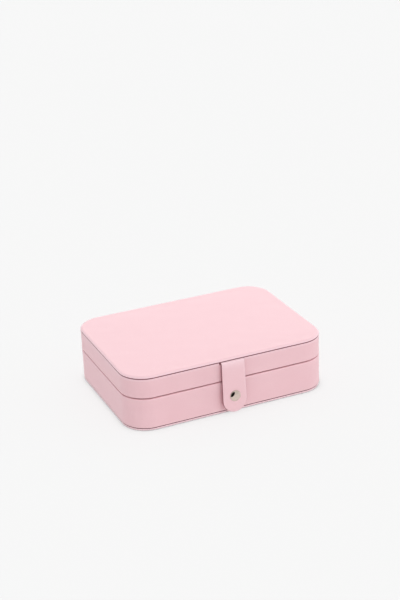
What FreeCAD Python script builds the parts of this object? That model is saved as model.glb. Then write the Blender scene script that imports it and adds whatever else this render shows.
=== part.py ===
import FreeCAD, Part
import math
import os
from FreeCAD import Vector

# Travel jewelry case: a leather-covered box in two shells. The deep base holds ring rolls and
# compartments, the shallow lid holds necklace hooks and a pocket, two small stop hinges join them at
# the back, and a leather tab with a snap holds them shut at the front.
# Millimetres. Origin at the centre of the face that the case rests on; +Z up, the tab faces -Y,
# the hinges face +Y and the long side lies along X.

# ---- overall sizes -------------------------------------------------------------------------------
case_length = 210.0            # along X, outside the leather walls
case_width = 155.0             # along Y, outside the leather walls
corner_radius = 25.5           # outside corner seen from above
bottom_panel_height = 2.6
base_wall_height = 31.4
lid_wall_height = 20.2
top_panel_height = 2.8

# ---- sheet and board thicknesses -----------------------------------------------------------------
leather = 0.8                  # coated leather cloth over the walls and panels
wall_board = 3.0               # bent board of both walls
floor_board = 2.0              # board that closes the base inside its wall
ceiling_board = 1.8            # board that closes the lid inside its wall
top_panel_board = 1.2
lining = 1.0                   # velvet on thin card
glue_gap = 0.1                 # between nested pieces
rim_gap = 0.4                  # between the closed rims
rim_turn = 8.0                 # leather turned in below each rim
rim_round = 0.7                # edge radius of the leather on a rim
panel_overhang = 0.3           # top panel past the wall
bottom_panel_inset = 0.4       # bottom panel inside the wall
top_edge_round = 2.0
bottom_edge_round = 1.4
wall_edge_round = 0.6          # wall leather where it meets a panel
lining_below_rim = 1.5

# ---- base interior -------------------------------------------------------------------------------
divider = 3.2                  # fixed divider, velvet on both sides
divider_below_rim = 5.2
rear_bay_width = 52.0          # the long compartment along the back
ring_bay_length = 88.8         # between the walls of the ring bay
roll_count = 6
roll_below_rim = 8.2
loose_divider = 3.0            # lift-out divider
loose_divider_below_rim = 7.2
rear_loose_x = 33.0            # either side of the middle
side_bay_width = 43.0          # front part of the right compartment
seat_gap = 0.3                 # soft or lift-out piece to its neighbour

# ---- lid interior --------------------------------------------------------------------------------
hook_bar_width = 12.0
hook_bar_height = 2.0
hook_bar_end = 21.3            # lid's inside to the bar's end
hook_bar_front = 19.8          # lid's inside to the bar's centre line
hook_count = 6
hook_margin = 15.5             # bar's end to the first hook
hook_wire = 0.8                # radius of the bent wire
hook_reach = 4.0               # straight stem below the bar
hook_bend = 2.0                # radius of the bend's centreline
hook_tip = 2.0
hook_foot_radius = 2.4
hook_foot_height = 0.6
pocket_end = 14.3              # lid's inside to the pocket's ends
pocket_rear = 8.0              # lid's inside to the pocket's closed edge
pocket_depth = 60.0            # from the mouth to the closed edge
pocket_height = 6.4            # how far the pocket stands from the lining
pocket_cloth = 1.0
hem_width = 2.4
hem_height = 2.2
hem_seam = 0.05

# ---- hinges --------------------------------------------------------------------------------------
hinge_end = 47.0               # case's end to the middle of the nearer hinge
hinge_width = 24.0
middle_knuckle = 8.0
knuckle_gap = 0.15
barrel_radius = 1.7
barrel_wall_gap = 0.5
barrel_clearance = 0.2
pin_radius = 0.75
pin_press = 0.02               # radial, in the base knuckles
pin_running = 0.05             # radial, in the lid knuckle
pin_end = 0.4                  # pin past each end of the barrel
pin_chamfer = 0.3
leaf_thickness = 0.7
leaf_half_gap = 0.05           # closed leaf face to the hinge plane
leaf_margin = 0.5              # leaf edge to the rim's inner face
leaf_pocket_gap = 0.2
leaf_seat_gap = 0.05
open_angle = 105.0             # where the stops meet
stop_thickness = 0.8
stop_height = 2.0              # stop past its barrel
stop_root = 0.5                # how far a stop is let into its barrel
stop_down_angle = 52.5         # base stop below the horizontal
stop_slack = 0.5               # degrees left between the stops at full opening
screw_radius = 0.8
screw_length = 5.5
screw_head_radius = 1.5
screw_head_height = 0.5
screw_clearance = 0.05
screw_end = 4.0                # leaf's end to its screw
screw_flush = 0.02

# ---- tab and snap --------------------------------------------------------------------------------
tab_width = 25.4
tab_layer = 1.1                # each of the two leather layers
tab_glue = 0.05
tab_bead_gap = 0.5             # wall to the bead that the tab folds on
tab_bead_drop = 0.1            # bead below the top of the lid wall
tab_stand_off = 3.2            # wall to the tab's inner face at the snap
tab_end_height = 2.2           # end above the floor
tab_root_thickness = 1.0
tab_root_depth = 12.0          # how far the root runs in under the top panel
tab_notch_gap = 0.15
snap_below_seam = 15.6
cap_radius = 5.75
cap_dome = 1.7
cap_rim = 0.5
post_radius = 1.2
post_clearance = 0.05
socket_radius = 5.0
socket_depth = 2.3
socket_floor = 0.3
stud_radius = 2.0
stud_bore_clearance = 0.3
stud_flange_radius = 4.5
stud_flange = 0.5
stud_reach = 1.9               # nub past its flange
stud_neck = 0.25               # groove behind the nub's head
rivet_head_radius = 3.4
rivet_head_height = 0.6

# ---- levels and insets worked out from the sizes above --------------------------------------------
wall_bottom = bottom_panel_height
seam = wall_bottom + base_wall_height
base_rim = seam - rim_gap / 2
lid_rim = seam + rim_gap / 2
wall_top = seam + lid_wall_height
case_top = wall_top + top_panel_height
board_inset = leather
board_inner = board_inset + wall_board
turn_inner = board_inner + leather
lining_outer = turn_inner + glue_gap
lining_inner = lining_outer + lining
floor_top = wall_bottom + floor_board
floor_level = floor_top + lining
ceiling_bottom = wall_top - ceiling_board
ceiling_level = ceiling_bottom - lining
half_x = case_length / 2 - lining_inner
half_y = case_width / 2 - lining_inner
front_wall = -case_width / 2
rear_wall = case_width / 2
divider_top = base_rim - divider_below_rim
roll_top = base_rim - roll_below_rim
loose_divider_top = base_rim - loose_divider_below_rim
long_divider_rear = half_y - rear_bay_width
long_divider_front = long_divider_rear - divider
ring_bay_half = ring_bay_length / 2
hook_bar_y = -half_y + hook_bar_front
hook_bar_half = half_x - hook_bar_end
pocket_half = half_x - pocket_end
pocket_mouth_y = half_y - pocket_rear - pocket_depth
hinge_x = case_length / 2 - hinge_end
hinge_y = rear_wall + barrel_wall_gap + barrel_radius
leaf_inner_y = rear_wall - turn_inner + leaf_margin
snap_height = seam - snap_below_seam
tab_axis_y = front_wall - tab_bead_gap - tab_layer
tab_axis_z = wall_top - tab_bead_drop - tab_layer
tab_outer_y = tab_axis_y - tab_layer
tab_inner_y = tab_axis_y + tab_layer
tab_lean = math.atan2(tab_stand_off - tab_bead_gap, tab_axis_z - snap_height)
socket_mouth = tab_layer + socket_depth    # from the fold plane to the socket's open end
long_axis = Vector(1, 0, 0)
forward = Vector(0, -1, 0)
backward = Vector(0, 1, 0)
up = Vector(0, 0, 1)
down = Vector(0, 0, -1)


# ---- shape helpers -------------------------------------------------------------------------------
def box(x0, x1, y0, y1, z0, z1):
    """Block between two opposite corners."""
    return Part.makeBox(x1 - x0, y1 - y0, z1 - z0, Vector(x0, y0, z0))


def rod(radius, x0, x1, y, z):
    """Cylinder along X."""
    return Part.makeCylinder(radius, x1 - x0, Vector(x0, y, z), long_axis)


def rounded_face(length, width, radius, z):
    """Rectangle with round corners, centred on the origin, at height z."""
    x, y = length / 2, width / 2
    arc_middle = radius * (1 - math.sqrt(0.5))
    edges = []
    corners = [(x, -y, 1, -1), (x, y, 1, 1), (-x, y, -1, 1), (-x, -y, -1, -1)]
    starts = []
    for cx, cy, sx, sy in corners:
        along_x = Vector(cx - sx * radius, cy, z)
        along_y = Vector(cx, cy - sy * radius, z)
        middle = Vector(cx - sx * arc_middle, cy - sy * arc_middle, z)
        first, last = (along_x, along_y) if sx * sy < 0 else (along_y, along_x)
        starts.append((first, middle, last))
    for index, (first, middle, last) in enumerate(starts):
        edges.append(Part.Arc(first, middle, last).toShape())
        following = starts[(index + 1) % len(starts)][0]
        edges.append(Part.LineSegment(last, following).toShape())
    return Part.Face(Part.Wire(edges))


def slab(inset, z0, z1):
    """The case's outline shrunk by inset, between two heights."""
    face = rounded_face(case_length - 2 * inset, case_width - 2 * inset, corner_radius - inset, z0)
    return face.extrude(Vector(0, 0, z1 - z0))


def ring(outer_inset, inner_inset, z0, z1):
    """A wall that follows the case's outline."""
    return slab(outer_inset, z0, z1).cut(slab(inner_inset, z0 - 1, z1 + 1))


def outline_edges(shape, inset, z):
    """The edges of shape that lie on the outline shrunk by inset, at height z."""
    radius = corner_radius - inset
    core_x = case_length / 2 - inset - radius
    core_y = case_width / 2 - inset - radius
    found = []
    for edge in shape.Edges:
        point = edge.valueAt((edge.FirstParameter + edge.LastParameter) / 2)
        outward = math.hypot(max(abs(point.x) - core_x, 0), max(abs(point.y) - core_y, 0))
        level = abs(edge.BoundBox.ZMin - z) + abs(edge.BoundBox.ZMax - z)
        if abs(outward - radius) < 1e-4 and level < 1e-4:
            found.append(edge)
    return found


def soften(shape, radius, inset, z):
    """Rounds the edges that follow the outline shrunk by inset, at height z."""
    return shape.makeFillet(radius, outline_edges(shape, inset, z))


# ---- cuts that other pieces leave in the walls -----------------------------------------------------
def leaf_pockets(below):
    """Recesses for both hinges' leaves in the rim below or above the seam."""
    depth = leaf_half_gap + leaf_thickness + leaf_seat_gap
    z0, z1 = (seam - depth, seam) if below else (seam, seam + depth)
    inner = leaf_inner_y - leaf_pocket_gap
    half = hinge_width / 2 + leaf_pocket_gap
    pockets = [box(x - half, x + half, inner, rear_wall + 1, z0, z1) for x in (-hinge_x, hinge_x)]
    return pockets[0].fuse(pockets[1])


def screw_places():
    """Each hinge screw's x and y."""
    y = rear_wall - (board_inset + board_inner) / 2
    offset = hinge_width / 2 - screw_end
    for x in (-hinge_x, hinge_x):
        for side in (-1, 1):
            yield x + side * offset, y


def screw_holes(z, direction):
    """Pilot holes for the hinge screws, from height z."""
    radius = screw_radius + screw_clearance
    holes = [
        Part.makeCylinder(radius, screw_length, Vector(x, y, z), direction)
        for x, y in screw_places()
    ]
    return holes[0].multiFuse(holes[1:])


def tab_notch():
    """Recess for the tab's root in the top of the lid's front wall and ceiling."""
    half = tab_width / 2 + tab_notch_gap
    back = front_wall + tab_root_depth + tab_notch_gap
    return box(-half, half, front_wall - 1, back, wall_top - tab_root_thickness - tab_glue, wall_top + 1)


def stud_hole():
    """Hole for the stud's rivet through the base's front wall."""
    start = Vector(0, front_wall - 1, snap_height)
    return Part.makeCylinder(post_radius + post_clearance, board_inner + 2, start, backward)


# ---- base shell ------------------------------------------------------------------------------------
def base_wall_board():
    board = ring(board_inset, board_inner, wall_bottom, base_rim - leather)
    board = board.cut(leaf_pockets(True))
    return board.cut(screw_holes(base_rim - leather, down)).cut(stud_hole())


def base_wall_leather():
    skin = soften(slab(0, wall_bottom, base_rim), rim_round, 0, base_rim)
    skin = soften(skin, wall_edge_round, 0, wall_bottom)
    skin = skin.cut(slab(turn_inner, wall_bottom - 1, base_rim + 1))
    skin = soften(skin, rim_round, turn_inner, base_rim)
    skin = skin.cut(ring(board_inset, board_inner, wall_bottom - 1, base_rim - leather))
    skin = skin.cut(slab(board_inner, wall_bottom - 1, base_rim - rim_turn))
    skin = skin.cut(leaf_pockets(True))
    return skin.cut(screw_holes(base_rim, down)).cut(stud_hole())


def base_floor_board():
    return slab(board_inner + glue_gap, wall_bottom, floor_top)


def bottom_panel_board():
    return slab(bottom_panel_inset + leather + glue_gap, leather, wall_bottom)


def bottom_panel_leather():
    cover = soften(slab(bottom_panel_inset, 0, wall_bottom), bottom_edge_round, bottom_panel_inset, 0)
    return cover.cut(slab(bottom_panel_inset + leather, leather, wall_bottom + 1))


def base_lining():
    tray = slab(lining_outer, floor_top, base_rim - lining_below_rim)
    return tray.cut(slab(lining_inner, floor_level, base_rim))


# ---- base interior ---------------------------------------------------------------------------------
def long_divider():
    reach = half_x - seat_gap
    return box(-reach, reach, long_divider_front, long_divider_rear, floor_level, divider_top)


def ring_bay_wall(side):
    centre = side * (ring_bay_half + divider / 2)
    x0, x1 = centre - divider / 2, centre + divider / 2
    return box(x0, x1, -half_y + seat_gap, long_divider_front, floor_level, divider_top)


def ring_roll(index):
    """Foam roll whose section has a flat foot and a round top; rings stand between two rolls."""
    front, back = -half_y + seat_gap, long_divider_front - seat_gap
    pitch = (back - front) / roll_count
    half = (pitch - seat_gap) / 2
    y = front + pitch * (index + 0.5)
    reach = ring_bay_half - seat_gap
    body = box(-reach, reach, y - half, y + half, floor_level, roll_top - half)
    return body.fuse(rod(half, -reach, reach, y, roll_top - half)).removeSplitter()


def rear_loose_divider(side):
    """Lift-out divider across the long rear compartment."""
    x0, x1 = side * rear_loose_x - loose_divider / 2, side * rear_loose_x + loose_divider / 2
    y0, y1 = long_divider_rear + seat_gap, half_y - seat_gap
    return box(x0, x1, y0, y1, floor_level, loose_divider_top)


def side_loose_divider():
    """Lift-out divider across the front right compartment."""
    x0, x1 = ring_bay_half + divider + seat_gap, half_x - seat_gap
    y0 = -half_y + side_bay_width
    return box(x0, x1, y0, y0 + loose_divider, floor_level, loose_divider_top)


# ---- lid shell -------------------------------------------------------------------------------------
def lid_wall_board():
    board = ring(board_inset, board_inner, lid_rim + leather, wall_top).cut(leaf_pockets(False))
    return board.cut(screw_holes(lid_rim + leather, up)).cut(tab_notch())


def lid_wall_leather():
    skin = soften(slab(0, lid_rim, wall_top), rim_round, 0, lid_rim)
    skin = soften(skin, wall_edge_round, 0, wall_top)
    skin = skin.cut(slab(turn_inner, lid_rim - 1, wall_top + 1))
    skin = soften(skin, rim_round, turn_inner, lid_rim)
    skin = skin.cut(ring(board_inset, board_inner, lid_rim + leather, wall_top + 1))
    skin = skin.cut(slab(board_inner, lid_rim + rim_turn, wall_top + 1))
    skin = skin.cut(leaf_pockets(False))
    return skin.cut(screw_holes(lid_rim, up)).cut(tab_notch())


def lid_ceiling_board():
    return slab(board_inner + glue_gap, ceiling_bottom, wall_top).cut(tab_notch())


def panel_core(inset):
    """The space inside the top panel's leather."""
    core = slab(inset, wall_top, case_top - leather)
    return soften(core, top_edge_round - leather, inset, case_top - leather)


def top_panel_leather():
    cover = slab(-panel_overhang, wall_top, case_top)
    cover = soften(cover, top_edge_round, -panel_overhang, case_top)
    return cover.cut(panel_core(leather - panel_overhang)).cut(slab(leather - panel_overhang, 0, wall_top))


def top_panel_stiffener():
    return slab(leather - panel_overhang + glue_gap, wall_top, wall_top + top_panel_board)


def top_panel_foam():
    core = panel_core(leather - panel_overhang + glue_gap)
    return core.cut(slab(0, wall_top - 1, wall_top + top_panel_board))


def lid_lining():
    tray = slab(lining_outer, lid_rim + lining_below_rim, ceiling_bottom)
    return tray.cut(slab(lining_inner, lid_rim, ceiling_level))


# ---- lid interior ----------------------------------------------------------------------------------
def necklace_hook_bar():
    x, y = hook_bar_half, hook_bar_width / 2
    bar = box(-x, x, hook_bar_y - y, hook_bar_y + y, ceiling_level - hook_bar_height, ceiling_level)
    return bar.makeFillet(y - hook_bend, [e for e in bar.Edges if e.BoundBox.ZLength > hook_bar_height / 2])


def necklace_hook(index):
    """Bent wire on a round foot: a stem, a quarter bend and a tip towards the front."""
    reach = hook_bar_half - hook_margin
    x = -reach + 2 * reach * index / (hook_count - 1)
    z = ceiling_level - hook_bar_height
    foot = Part.makeCylinder(hook_foot_radius, hook_foot_height, Vector(x, hook_bar_y, z), down)
    stem_end = Vector(x, hook_bar_y, z - hook_reach)
    centre = Vector(x, hook_bar_y - hook_bend, z - hook_reach)
    slant = hook_bend * math.sqrt(0.5)
    bend_middle = centre + Vector(0, slant, -slant)
    bend_end = centre + Vector(0, 0, -hook_bend)
    tip = bend_end + Vector(0, -hook_tip, 0)
    start = Vector(x, hook_bar_y, z)
    path = Part.Wire([
        Part.LineSegment(start, stem_end).toShape(),
        Part.Arc(stem_end, bend_middle, bend_end).toShape(),
        Part.LineSegment(bend_end, tip).toShape(),
    ])
    section = Part.Wire([Part.Circle(start, up, hook_wire).toShape()])
    wire = path.makePipeShell([section], True, False)
    return wire.fuse(foot).fuse(Part.makeSphere(hook_wire, tip)).removeSplitter()


def pocket_cloth_body():
    """Flat pouch on the lid's lining, open towards the front."""
    x = pocket_half
    y0, y1 = pocket_mouth_y, pocket_mouth_y + pocket_depth
    low = ceiling_level - pocket_height
    pouch = box(-x, x, y0, y1, low, ceiling_level)
    hollow = box(
        -x + pocket_cloth, x - pocket_cloth, y0 - 1, y1 - pocket_cloth, low + pocket_cloth, ceiling_level + 1
    )
    return pouch.cut(hollow)


def pocket_elastic_hem():
    x = pocket_half
    y1 = pocket_mouth_y - hem_seam
    middle = ceiling_level - pocket_height + pocket_cloth / 2
    hem = box(-x, x, y1 - hem_width, y1, middle - hem_height / 2, middle + hem_height / 2)
    long_edges = [e for e in hem.Edges if e.BoundBox.XLength > x]
    return hem.makeFillet(hem_height / 3, long_edges)


# ---- hinges ----------------------------------------------------------------------------------------
def leaf_plate(x, z0, z1):
    return box(x - hinge_width / 2, x + hinge_width / 2, leaf_inner_y, hinge_y, z0, z1)


def middle_span(x, radius):
    """A disc-ended cylinder round the hinge axis over the lid's knuckle and its side gaps."""
    half = middle_knuckle / 2 + knuckle_gap
    return rod(radius, x - half, x + half, hinge_y, seam)


def outer_spans(x, radius):
    """Cylinders round the hinge axis over the base's two knuckles."""
    near, far = middle_knuckle / 2 + knuckle_gap, hinge_width / 2
    left = rod(radius, x - far, x - near, hinge_y, seam)
    right = rod(radius, x + near, x + far, hinge_y, seam)
    return left.fuse(right)


def countersinks(x, face_z, direction):
    """Clearance holes through a leaf, sunk for the screw heads at its outer face."""
    radius = screw_radius + screw_clearance
    sink = screw_head_radius + screw_clearance
    cut = None
    for sx, sy in screw_places():
        if abs(sx - x) < hinge_width / 2:
            start = Vector(sx, sy, face_z)
            hole = Part.makeCylinder(radius, leaf_thickness + 1, start, direction)
            hole = hole.fuse(Part.makeCone(sink, radius, screw_head_height, start, direction))
            cut = hole if cut is None else cut.fuse(hole)
    return cut


def stop_plate(x0, x1, above, angle):
    """Radial stop on the hinge axis, its face on the plane at that angle above the horizontal."""
    z0, z1 = (seam, seam + stop_thickness) if above else (seam - stop_thickness, seam)
    root, tip = barrel_radius - stop_root, barrel_radius + stop_height
    plate = box(x0, x1, hinge_y + root, hinge_y + tip, z0, z1)
    plate.rotate(Vector(0, hinge_y, seam), long_axis, angle)
    return plate


def hinge_base_leaf(x):
    top = seam - leaf_half_gap
    clear = middle_span(x, barrel_radius + barrel_clearance)
    half = hinge_width / 2
    plate = leaf_plate(x, top - leaf_thickness, top).cut(clear)
    stop = stop_plate(x - half, x + half, False, -stop_down_angle).cut(clear)
    leaf = outer_spans(x, barrel_radius).fuse(plate).fuse(stop)
    leaf = leaf.cut(rod(pin_radius + pin_press, x - half - 1, x + half + 1, hinge_y, seam))
    return leaf.cut(countersinks(x, top, down)).removeSplitter()


def hinge_lid_leaf(x):
    bottom = seam + leaf_half_gap
    half = middle_knuckle / 2
    plate = leaf_plate(x, bottom, bottom + leaf_thickness)
    plate = plate.cut(outer_spans(x, barrel_radius + barrel_clearance))
    for start in (x - half - knuckle_gap, x + half):
        clear_y = hinge_y - barrel_radius - barrel_clearance
        plate = plate.cut(box(start, start + knuckle_gap, clear_y, hinge_y, bottom, bottom + leaf_thickness))
    stop = stop_plate(x - half, x + half, True, open_angle - stop_down_angle + stop_slack)
    leaf = rod(barrel_radius, x - half, x + half, hinge_y, seam).fuse(plate).fuse(stop)
    leaf = leaf.cut(rod(pin_radius + pin_running, x - half - 1, x + half + 1, hinge_y, seam))
    return leaf.cut(countersinks(x, bottom, up)).removeSplitter()


def hinge_pin(x):
    reach = hinge_width / 2 + pin_end
    pin = rod(pin_radius, x - reach, x + reach, hinge_y, seam)
    return pin.makeChamfer(pin_chamfer, [e for e in pin.Edges if e.BoundBox.XLength < pin_chamfer])


def hinge_screws(face_z, direction):
    """Countersunk screws of both hinges, their heads just under the leaf's outer face."""
    screws = []
    for x, y in screw_places():
        start = Vector(x, y, face_z) + direction * screw_flush
        head = Part.makeCone(screw_head_radius, screw_radius, screw_head_height, start, direction)
        shank = Part.makeCylinder(screw_radius, screw_length - leaf_thickness, start, direction)
        screws.append(head.fuse(shank).removeSplitter())
    return Part.makeCompound(screws)


# ---- tab and snap ----------------------------------------------------------------------------------
# The tab and its snap pieces are drawn hanging straight down from the bead and then leant out.
def leant(shape):
    shape.rotate(Vector(0, tab_axis_y, tab_axis_z), long_axis, -math.degrees(tab_lean))
    return shape


def upright_snap_z():
    """Where the snap lies on the straight tab so that its socket meets the stud once the tab leans."""
    drop = (tab_axis_z - snap_height - socket_mouth * math.sin(tab_lean)) / math.cos(tab_lean)
    return tab_axis_z - drop


def tab_outline(y0, y1, top):
    """The tab's shape seen from the front: straight sides and a half-round end."""
    radius = tab_width / 2
    centre_z = tab_end_height + radius
    panel = box(-radius, radius, y0, y1, centre_z, top)
    end = Part.makeCylinder(radius, y1 - y0, Vector(0, y1, centre_z), forward)
    return panel.fuse(end).removeSplitter()


def tab_post_hole():
    start = Vector(0, tab_inner_y + 1, upright_snap_z())
    return Part.makeCylinder(post_radius + post_clearance, 2 * tab_layer + 2, start, forward)


def tab_face():
    """Outer leather, rolled at the top into the bead that the tab swings on."""
    layer = tab_outline(tab_outer_y, tab_axis_y, tab_axis_z)
    bead = rod(tab_layer, -tab_width / 2, tab_width / 2, tab_axis_y, tab_axis_z)
    return leant(layer.fuse(bead).removeSplitter().cut(tab_post_hole()))


def tab_backing():
    top = tab_axis_z - tab_layer - tab_glue
    return leant(tab_outline(tab_axis_y + tab_glue, tab_inner_y, top).cut(tab_post_hole()))


def tab_root():
    """Leather tongue glued under the top panel, its end close behind the tab's bead."""
    half = tab_width / 2
    y0, y1 = front_wall - panel_overhang, front_wall + tab_root_depth
    return box(-half, half, y0, y1, wall_top - tab_root_thickness, wall_top)


def snap_cap():
    """Domed cap with its post through the tab."""
    face = Vector(0, tab_outer_y, upright_snap_z())
    dome_radius = (cap_radius**2 + (cap_dome - cap_rim) ** 2) / (2 * (cap_dome - cap_rim))
    ball_centre = face + forward * (cap_dome - dome_radius)
    disc = Part.makeCylinder(cap_radius, cap_dome, face, forward)
    dome = disc.common(Part.makeSphere(dome_radius, ball_centre))
    post = Part.makeCylinder(post_radius, 2 * tab_layer, face, backward)
    return leant(dome.fuse(post).removeSplitter())


def snap_socket():
    """Ring on the tab's back that grips the stud."""
    z = upright_snap_z()
    ring_body = Part.makeCylinder(socket_radius, socket_depth, Vector(0, tab_inner_y, z), backward)
    bore_start = Vector(0, tab_inner_y + socket_floor, z)
    bore = Part.makeCylinder(stud_radius + stud_bore_clearance, socket_depth, bore_start, backward)
    return leant(ring_body.cut(bore))


def snap_stud():
    """Flange on the base's leather with a necked nub."""
    face = Vector(0, front_wall, snap_height)
    flange = Part.makeCylinder(stud_flange_radius, stud_flange, face, forward)
    neck = Part.makeCylinder(stud_radius - stud_neck, stud_flange + stud_reach, face, forward)
    head_start = face + forward * (stud_flange + stud_reach / 2)
    head = Part.makeCylinder(stud_radius, stud_reach / 2, head_start, forward)
    head = head.makeFillet(stud_neck, head.Edges)
    return flange.fuse(neck).fuse(head).removeSplitter()


def stud_rivet():
    """Shank through the wall with its head under the lining."""
    face = Vector(0, front_wall, snap_height)
    shank = Part.makeCylinder(post_radius, board_inner, face, backward)
    head_start = face + backward * board_inner
    head = Part.makeCylinder(rivet_head_radius, rivet_head_height, head_start, backward)
    return shank.fuse(head).removeSplitter()


# ---- assembly --------------------------------------------------------------------------------------
def all_nodes():
    nodes = {
        "base_wall_board": base_wall_board(),
        "base_wall_leather": base_wall_leather(),
        "base_floor_board": base_floor_board(),
        "bottom_panel_board": bottom_panel_board(),
        "bottom_panel_leather": bottom_panel_leather(),
        "base_lining": base_lining(),
        "long_divider": long_divider(),
        "ring_bay_wall_left": ring_bay_wall(-1),
        "ring_bay_wall_right": ring_bay_wall(1),
        "lift_out_divider_rear_left": rear_loose_divider(-1),
        "lift_out_divider_rear_right": rear_loose_divider(1),
        "lift_out_divider_side": side_loose_divider(),
        "lid_wall_board": lid_wall_board(),
        "lid_wall_leather": lid_wall_leather(),
        "lid_ceiling_board": lid_ceiling_board(),
        "top_panel_board": top_panel_stiffener(),
        "top_panel_foam": top_panel_foam(),
        "top_panel_leather": top_panel_leather(),
        "lid_lining": lid_lining(),
        "necklace_hook_bar": necklace_hook_bar(),
        "pocket_cloth": pocket_cloth_body(),
        "pocket_elastic_hem": pocket_elastic_hem(),
        "base_hinge_screws": hinge_screws(seam - leaf_half_gap, down),
        "lid_hinge_screws": hinge_screws(seam + leaf_half_gap, up),
        "tab_face": tab_face(),
        "tab_backing": tab_backing(),
        "tab_root": tab_root(),
        "snap_cap": snap_cap(),
        "snap_socket": snap_socket(),
        "snap_stud": snap_stud(),
        "snap_stud_rivet": stud_rivet(),
    }
    for index in range(roll_count):
        nodes[f"ring_roll_{index + 1}"] = ring_roll(index)
    for index in range(hook_count):
        nodes[f"necklace_hook_{index + 1}"] = necklace_hook(index)
    for side, x in (("left", -hinge_x), ("right", hinge_x)):
        nodes[f"hinge_base_leaf_{side}"] = hinge_base_leaf(x)
        nodes[f"hinge_lid_leaf_{side}"] = hinge_lid_leaf(x)
        nodes[f"hinge_pin_{side}"] = hinge_pin(x)
    return nodes


def main():
    os.makedirs("parts", exist_ok=True)
    for name, shape in all_nodes().items():
        if not shape.isValid():
            raise RuntimeError(f"{name} is not a valid shape")
        shape.exportStep(f"parts/{name}.step")
        print(f"{name}: {len(shape.Solids)} solid(s), {shape.Volume:.1f} mm3")


main()
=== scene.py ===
# %% [markdown]
# # A travel jewelry case
# The case is two shallow boxes of grey board covered in pale pink coated leather. A padded panel closes the
# lid, a flat one closes the base, and a tab with a snap holds them shut. The engineering model gives every
# piece its place and size. This script gives each one its real surface: softened edges, wrapped rims, grain,
# velvet and polished nickel.

# %% Load the frame
import math

import bmesh
import bpy
import numpy as np
from mathutils import Matrix, Vector


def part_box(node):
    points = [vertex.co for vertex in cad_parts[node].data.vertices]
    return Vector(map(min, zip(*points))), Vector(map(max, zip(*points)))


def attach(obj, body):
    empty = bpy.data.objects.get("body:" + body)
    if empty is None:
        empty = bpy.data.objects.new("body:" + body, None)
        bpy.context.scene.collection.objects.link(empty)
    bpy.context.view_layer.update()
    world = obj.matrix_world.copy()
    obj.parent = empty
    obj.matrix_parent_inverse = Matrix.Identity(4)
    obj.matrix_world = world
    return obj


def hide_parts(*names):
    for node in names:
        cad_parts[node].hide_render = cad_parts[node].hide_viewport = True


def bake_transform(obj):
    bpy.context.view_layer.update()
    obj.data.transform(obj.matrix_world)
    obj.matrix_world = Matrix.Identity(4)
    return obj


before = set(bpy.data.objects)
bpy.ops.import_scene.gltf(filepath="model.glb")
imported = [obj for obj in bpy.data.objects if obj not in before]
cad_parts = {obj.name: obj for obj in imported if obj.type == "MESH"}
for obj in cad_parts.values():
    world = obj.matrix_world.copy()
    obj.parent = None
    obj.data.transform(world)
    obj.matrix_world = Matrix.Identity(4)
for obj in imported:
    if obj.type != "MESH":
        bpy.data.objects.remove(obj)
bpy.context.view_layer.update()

mm = 0.001

# %% [markdown]
# ## Camera
# A small case looks its true shape from a little over a metre away through a long lens, which keeps its
# verticals nearly parallel. The camera is placed by the angles that can be read off a tripod: how far round,
# how high, and how far it leans over. A camera could also be aimed with a Track To constraint, but plain
# angles keep the lean.

# %% Camera
def into_scene(name, data):
    """A new object for a mesh, a light or a camera, linked into the scene."""
    made = bpy.data.objects.new(name, data)
    bpy.context.scene.collection.objects.link(made)
    return made


camera_round = math.radians(-22.99)
camera_height = math.radians(23.32)
camera_lean = math.radians(-2.51)
camera_distance = 1371.1 * mm
camera_rise = 77.9 * mm          # the aim passes this far above the case
camera_side = -0.4 * mm
turning_height = 2.6 * mm        # the angles are measured about a point this far above the floor
focal_length = 80.98             # on a 36 mm sensor

back = Vector((
    math.sin(camera_round) * math.cos(camera_height),
    -math.cos(camera_round) * math.cos(camera_height),
    math.sin(camera_height),
))
level = (-back).cross(Vector((0, 0, 1))).normalized()
above = level.cross(-back)
camera_right = level * math.cos(camera_lean) + above * math.sin(camera_lean)
camera_up = above * math.cos(camera_lean) - level * math.sin(camera_lean)
camera_data = bpy.data.cameras.new("camera")
camera_data.lens = focal_length
camera_data.clip_end = 40.0
camera = into_scene("camera", camera_data)
axes = Matrix((camera_right, camera_up, back)).transposed().to_4x4()
camera_place = back * camera_distance + camera_right * camera_side + camera_up * camera_rise
camera.matrix_world = Matrix.Translation(camera_place + Vector((0, 0, turning_height))) @ axes
bpy.context.scene.camera = camera
print("camera at", [round(v, 3) for v in camera.matrix_world.translation], "m")

# %% [markdown]
# ## Colours and nodes
# Paint charts and web pages give colours as sRGB hex values, but shaders work in linear light, so one function
# converts them. A second small function adds a node, sets its properties, and links or fills its sockets.

# %% Colour and node helpers
def linear(code):
    """An sRGB hex colour as linear red, green, blue and alpha."""
    srgb = np.array([int(code[i:i + 2], 16) for i in (1, 3, 5)]) / 255
    low = srgb / 12.92
    high = ((srgb + 0.055) / 1.055) ** 2.4
    return (*np.where(srgb <= 0.04045, low, high).tolist(), 1.0)


def add(material, kind, sockets=None, **settings):
    """Adds a shader node. A socket's value is a number, a colour, or another node's output, which is linked."""
    tree = material.node_tree
    made = tree.nodes.new("ShaderNode" + kind)
    for name, value in settings.items():
        setattr(made, name, value)
    for name, value in (sockets or {}).items():
        if isinstance(value, bpy.types.NodeSocket):
            tree.links.new(value, made.inputs[name])
        else:
            made.inputs[name].default_value = value
    return made


def new_material(name):
    """An empty node material with its Principled shader and the surface coordinates to draw patterns on."""
    material = bpy.data.materials.new(name)
    material.use_nodes = True
    material.node_tree.nodes.clear()
    shader = add(material, "BsdfPrincipled")
    add(material, "OutputMaterial", {"Surface": shader.outputs["BSDF"]})
    place = add(material, "TexCoord").outputs["Object"]
    return material, shader, place


def link(material, output, socket):
    material.node_tree.links.new(output, socket)


leather_pink = "#f7cdd3"
print("leather pink in linear light:", [round(v, 3) for v in linear(leather_pink)[:3]])

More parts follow.
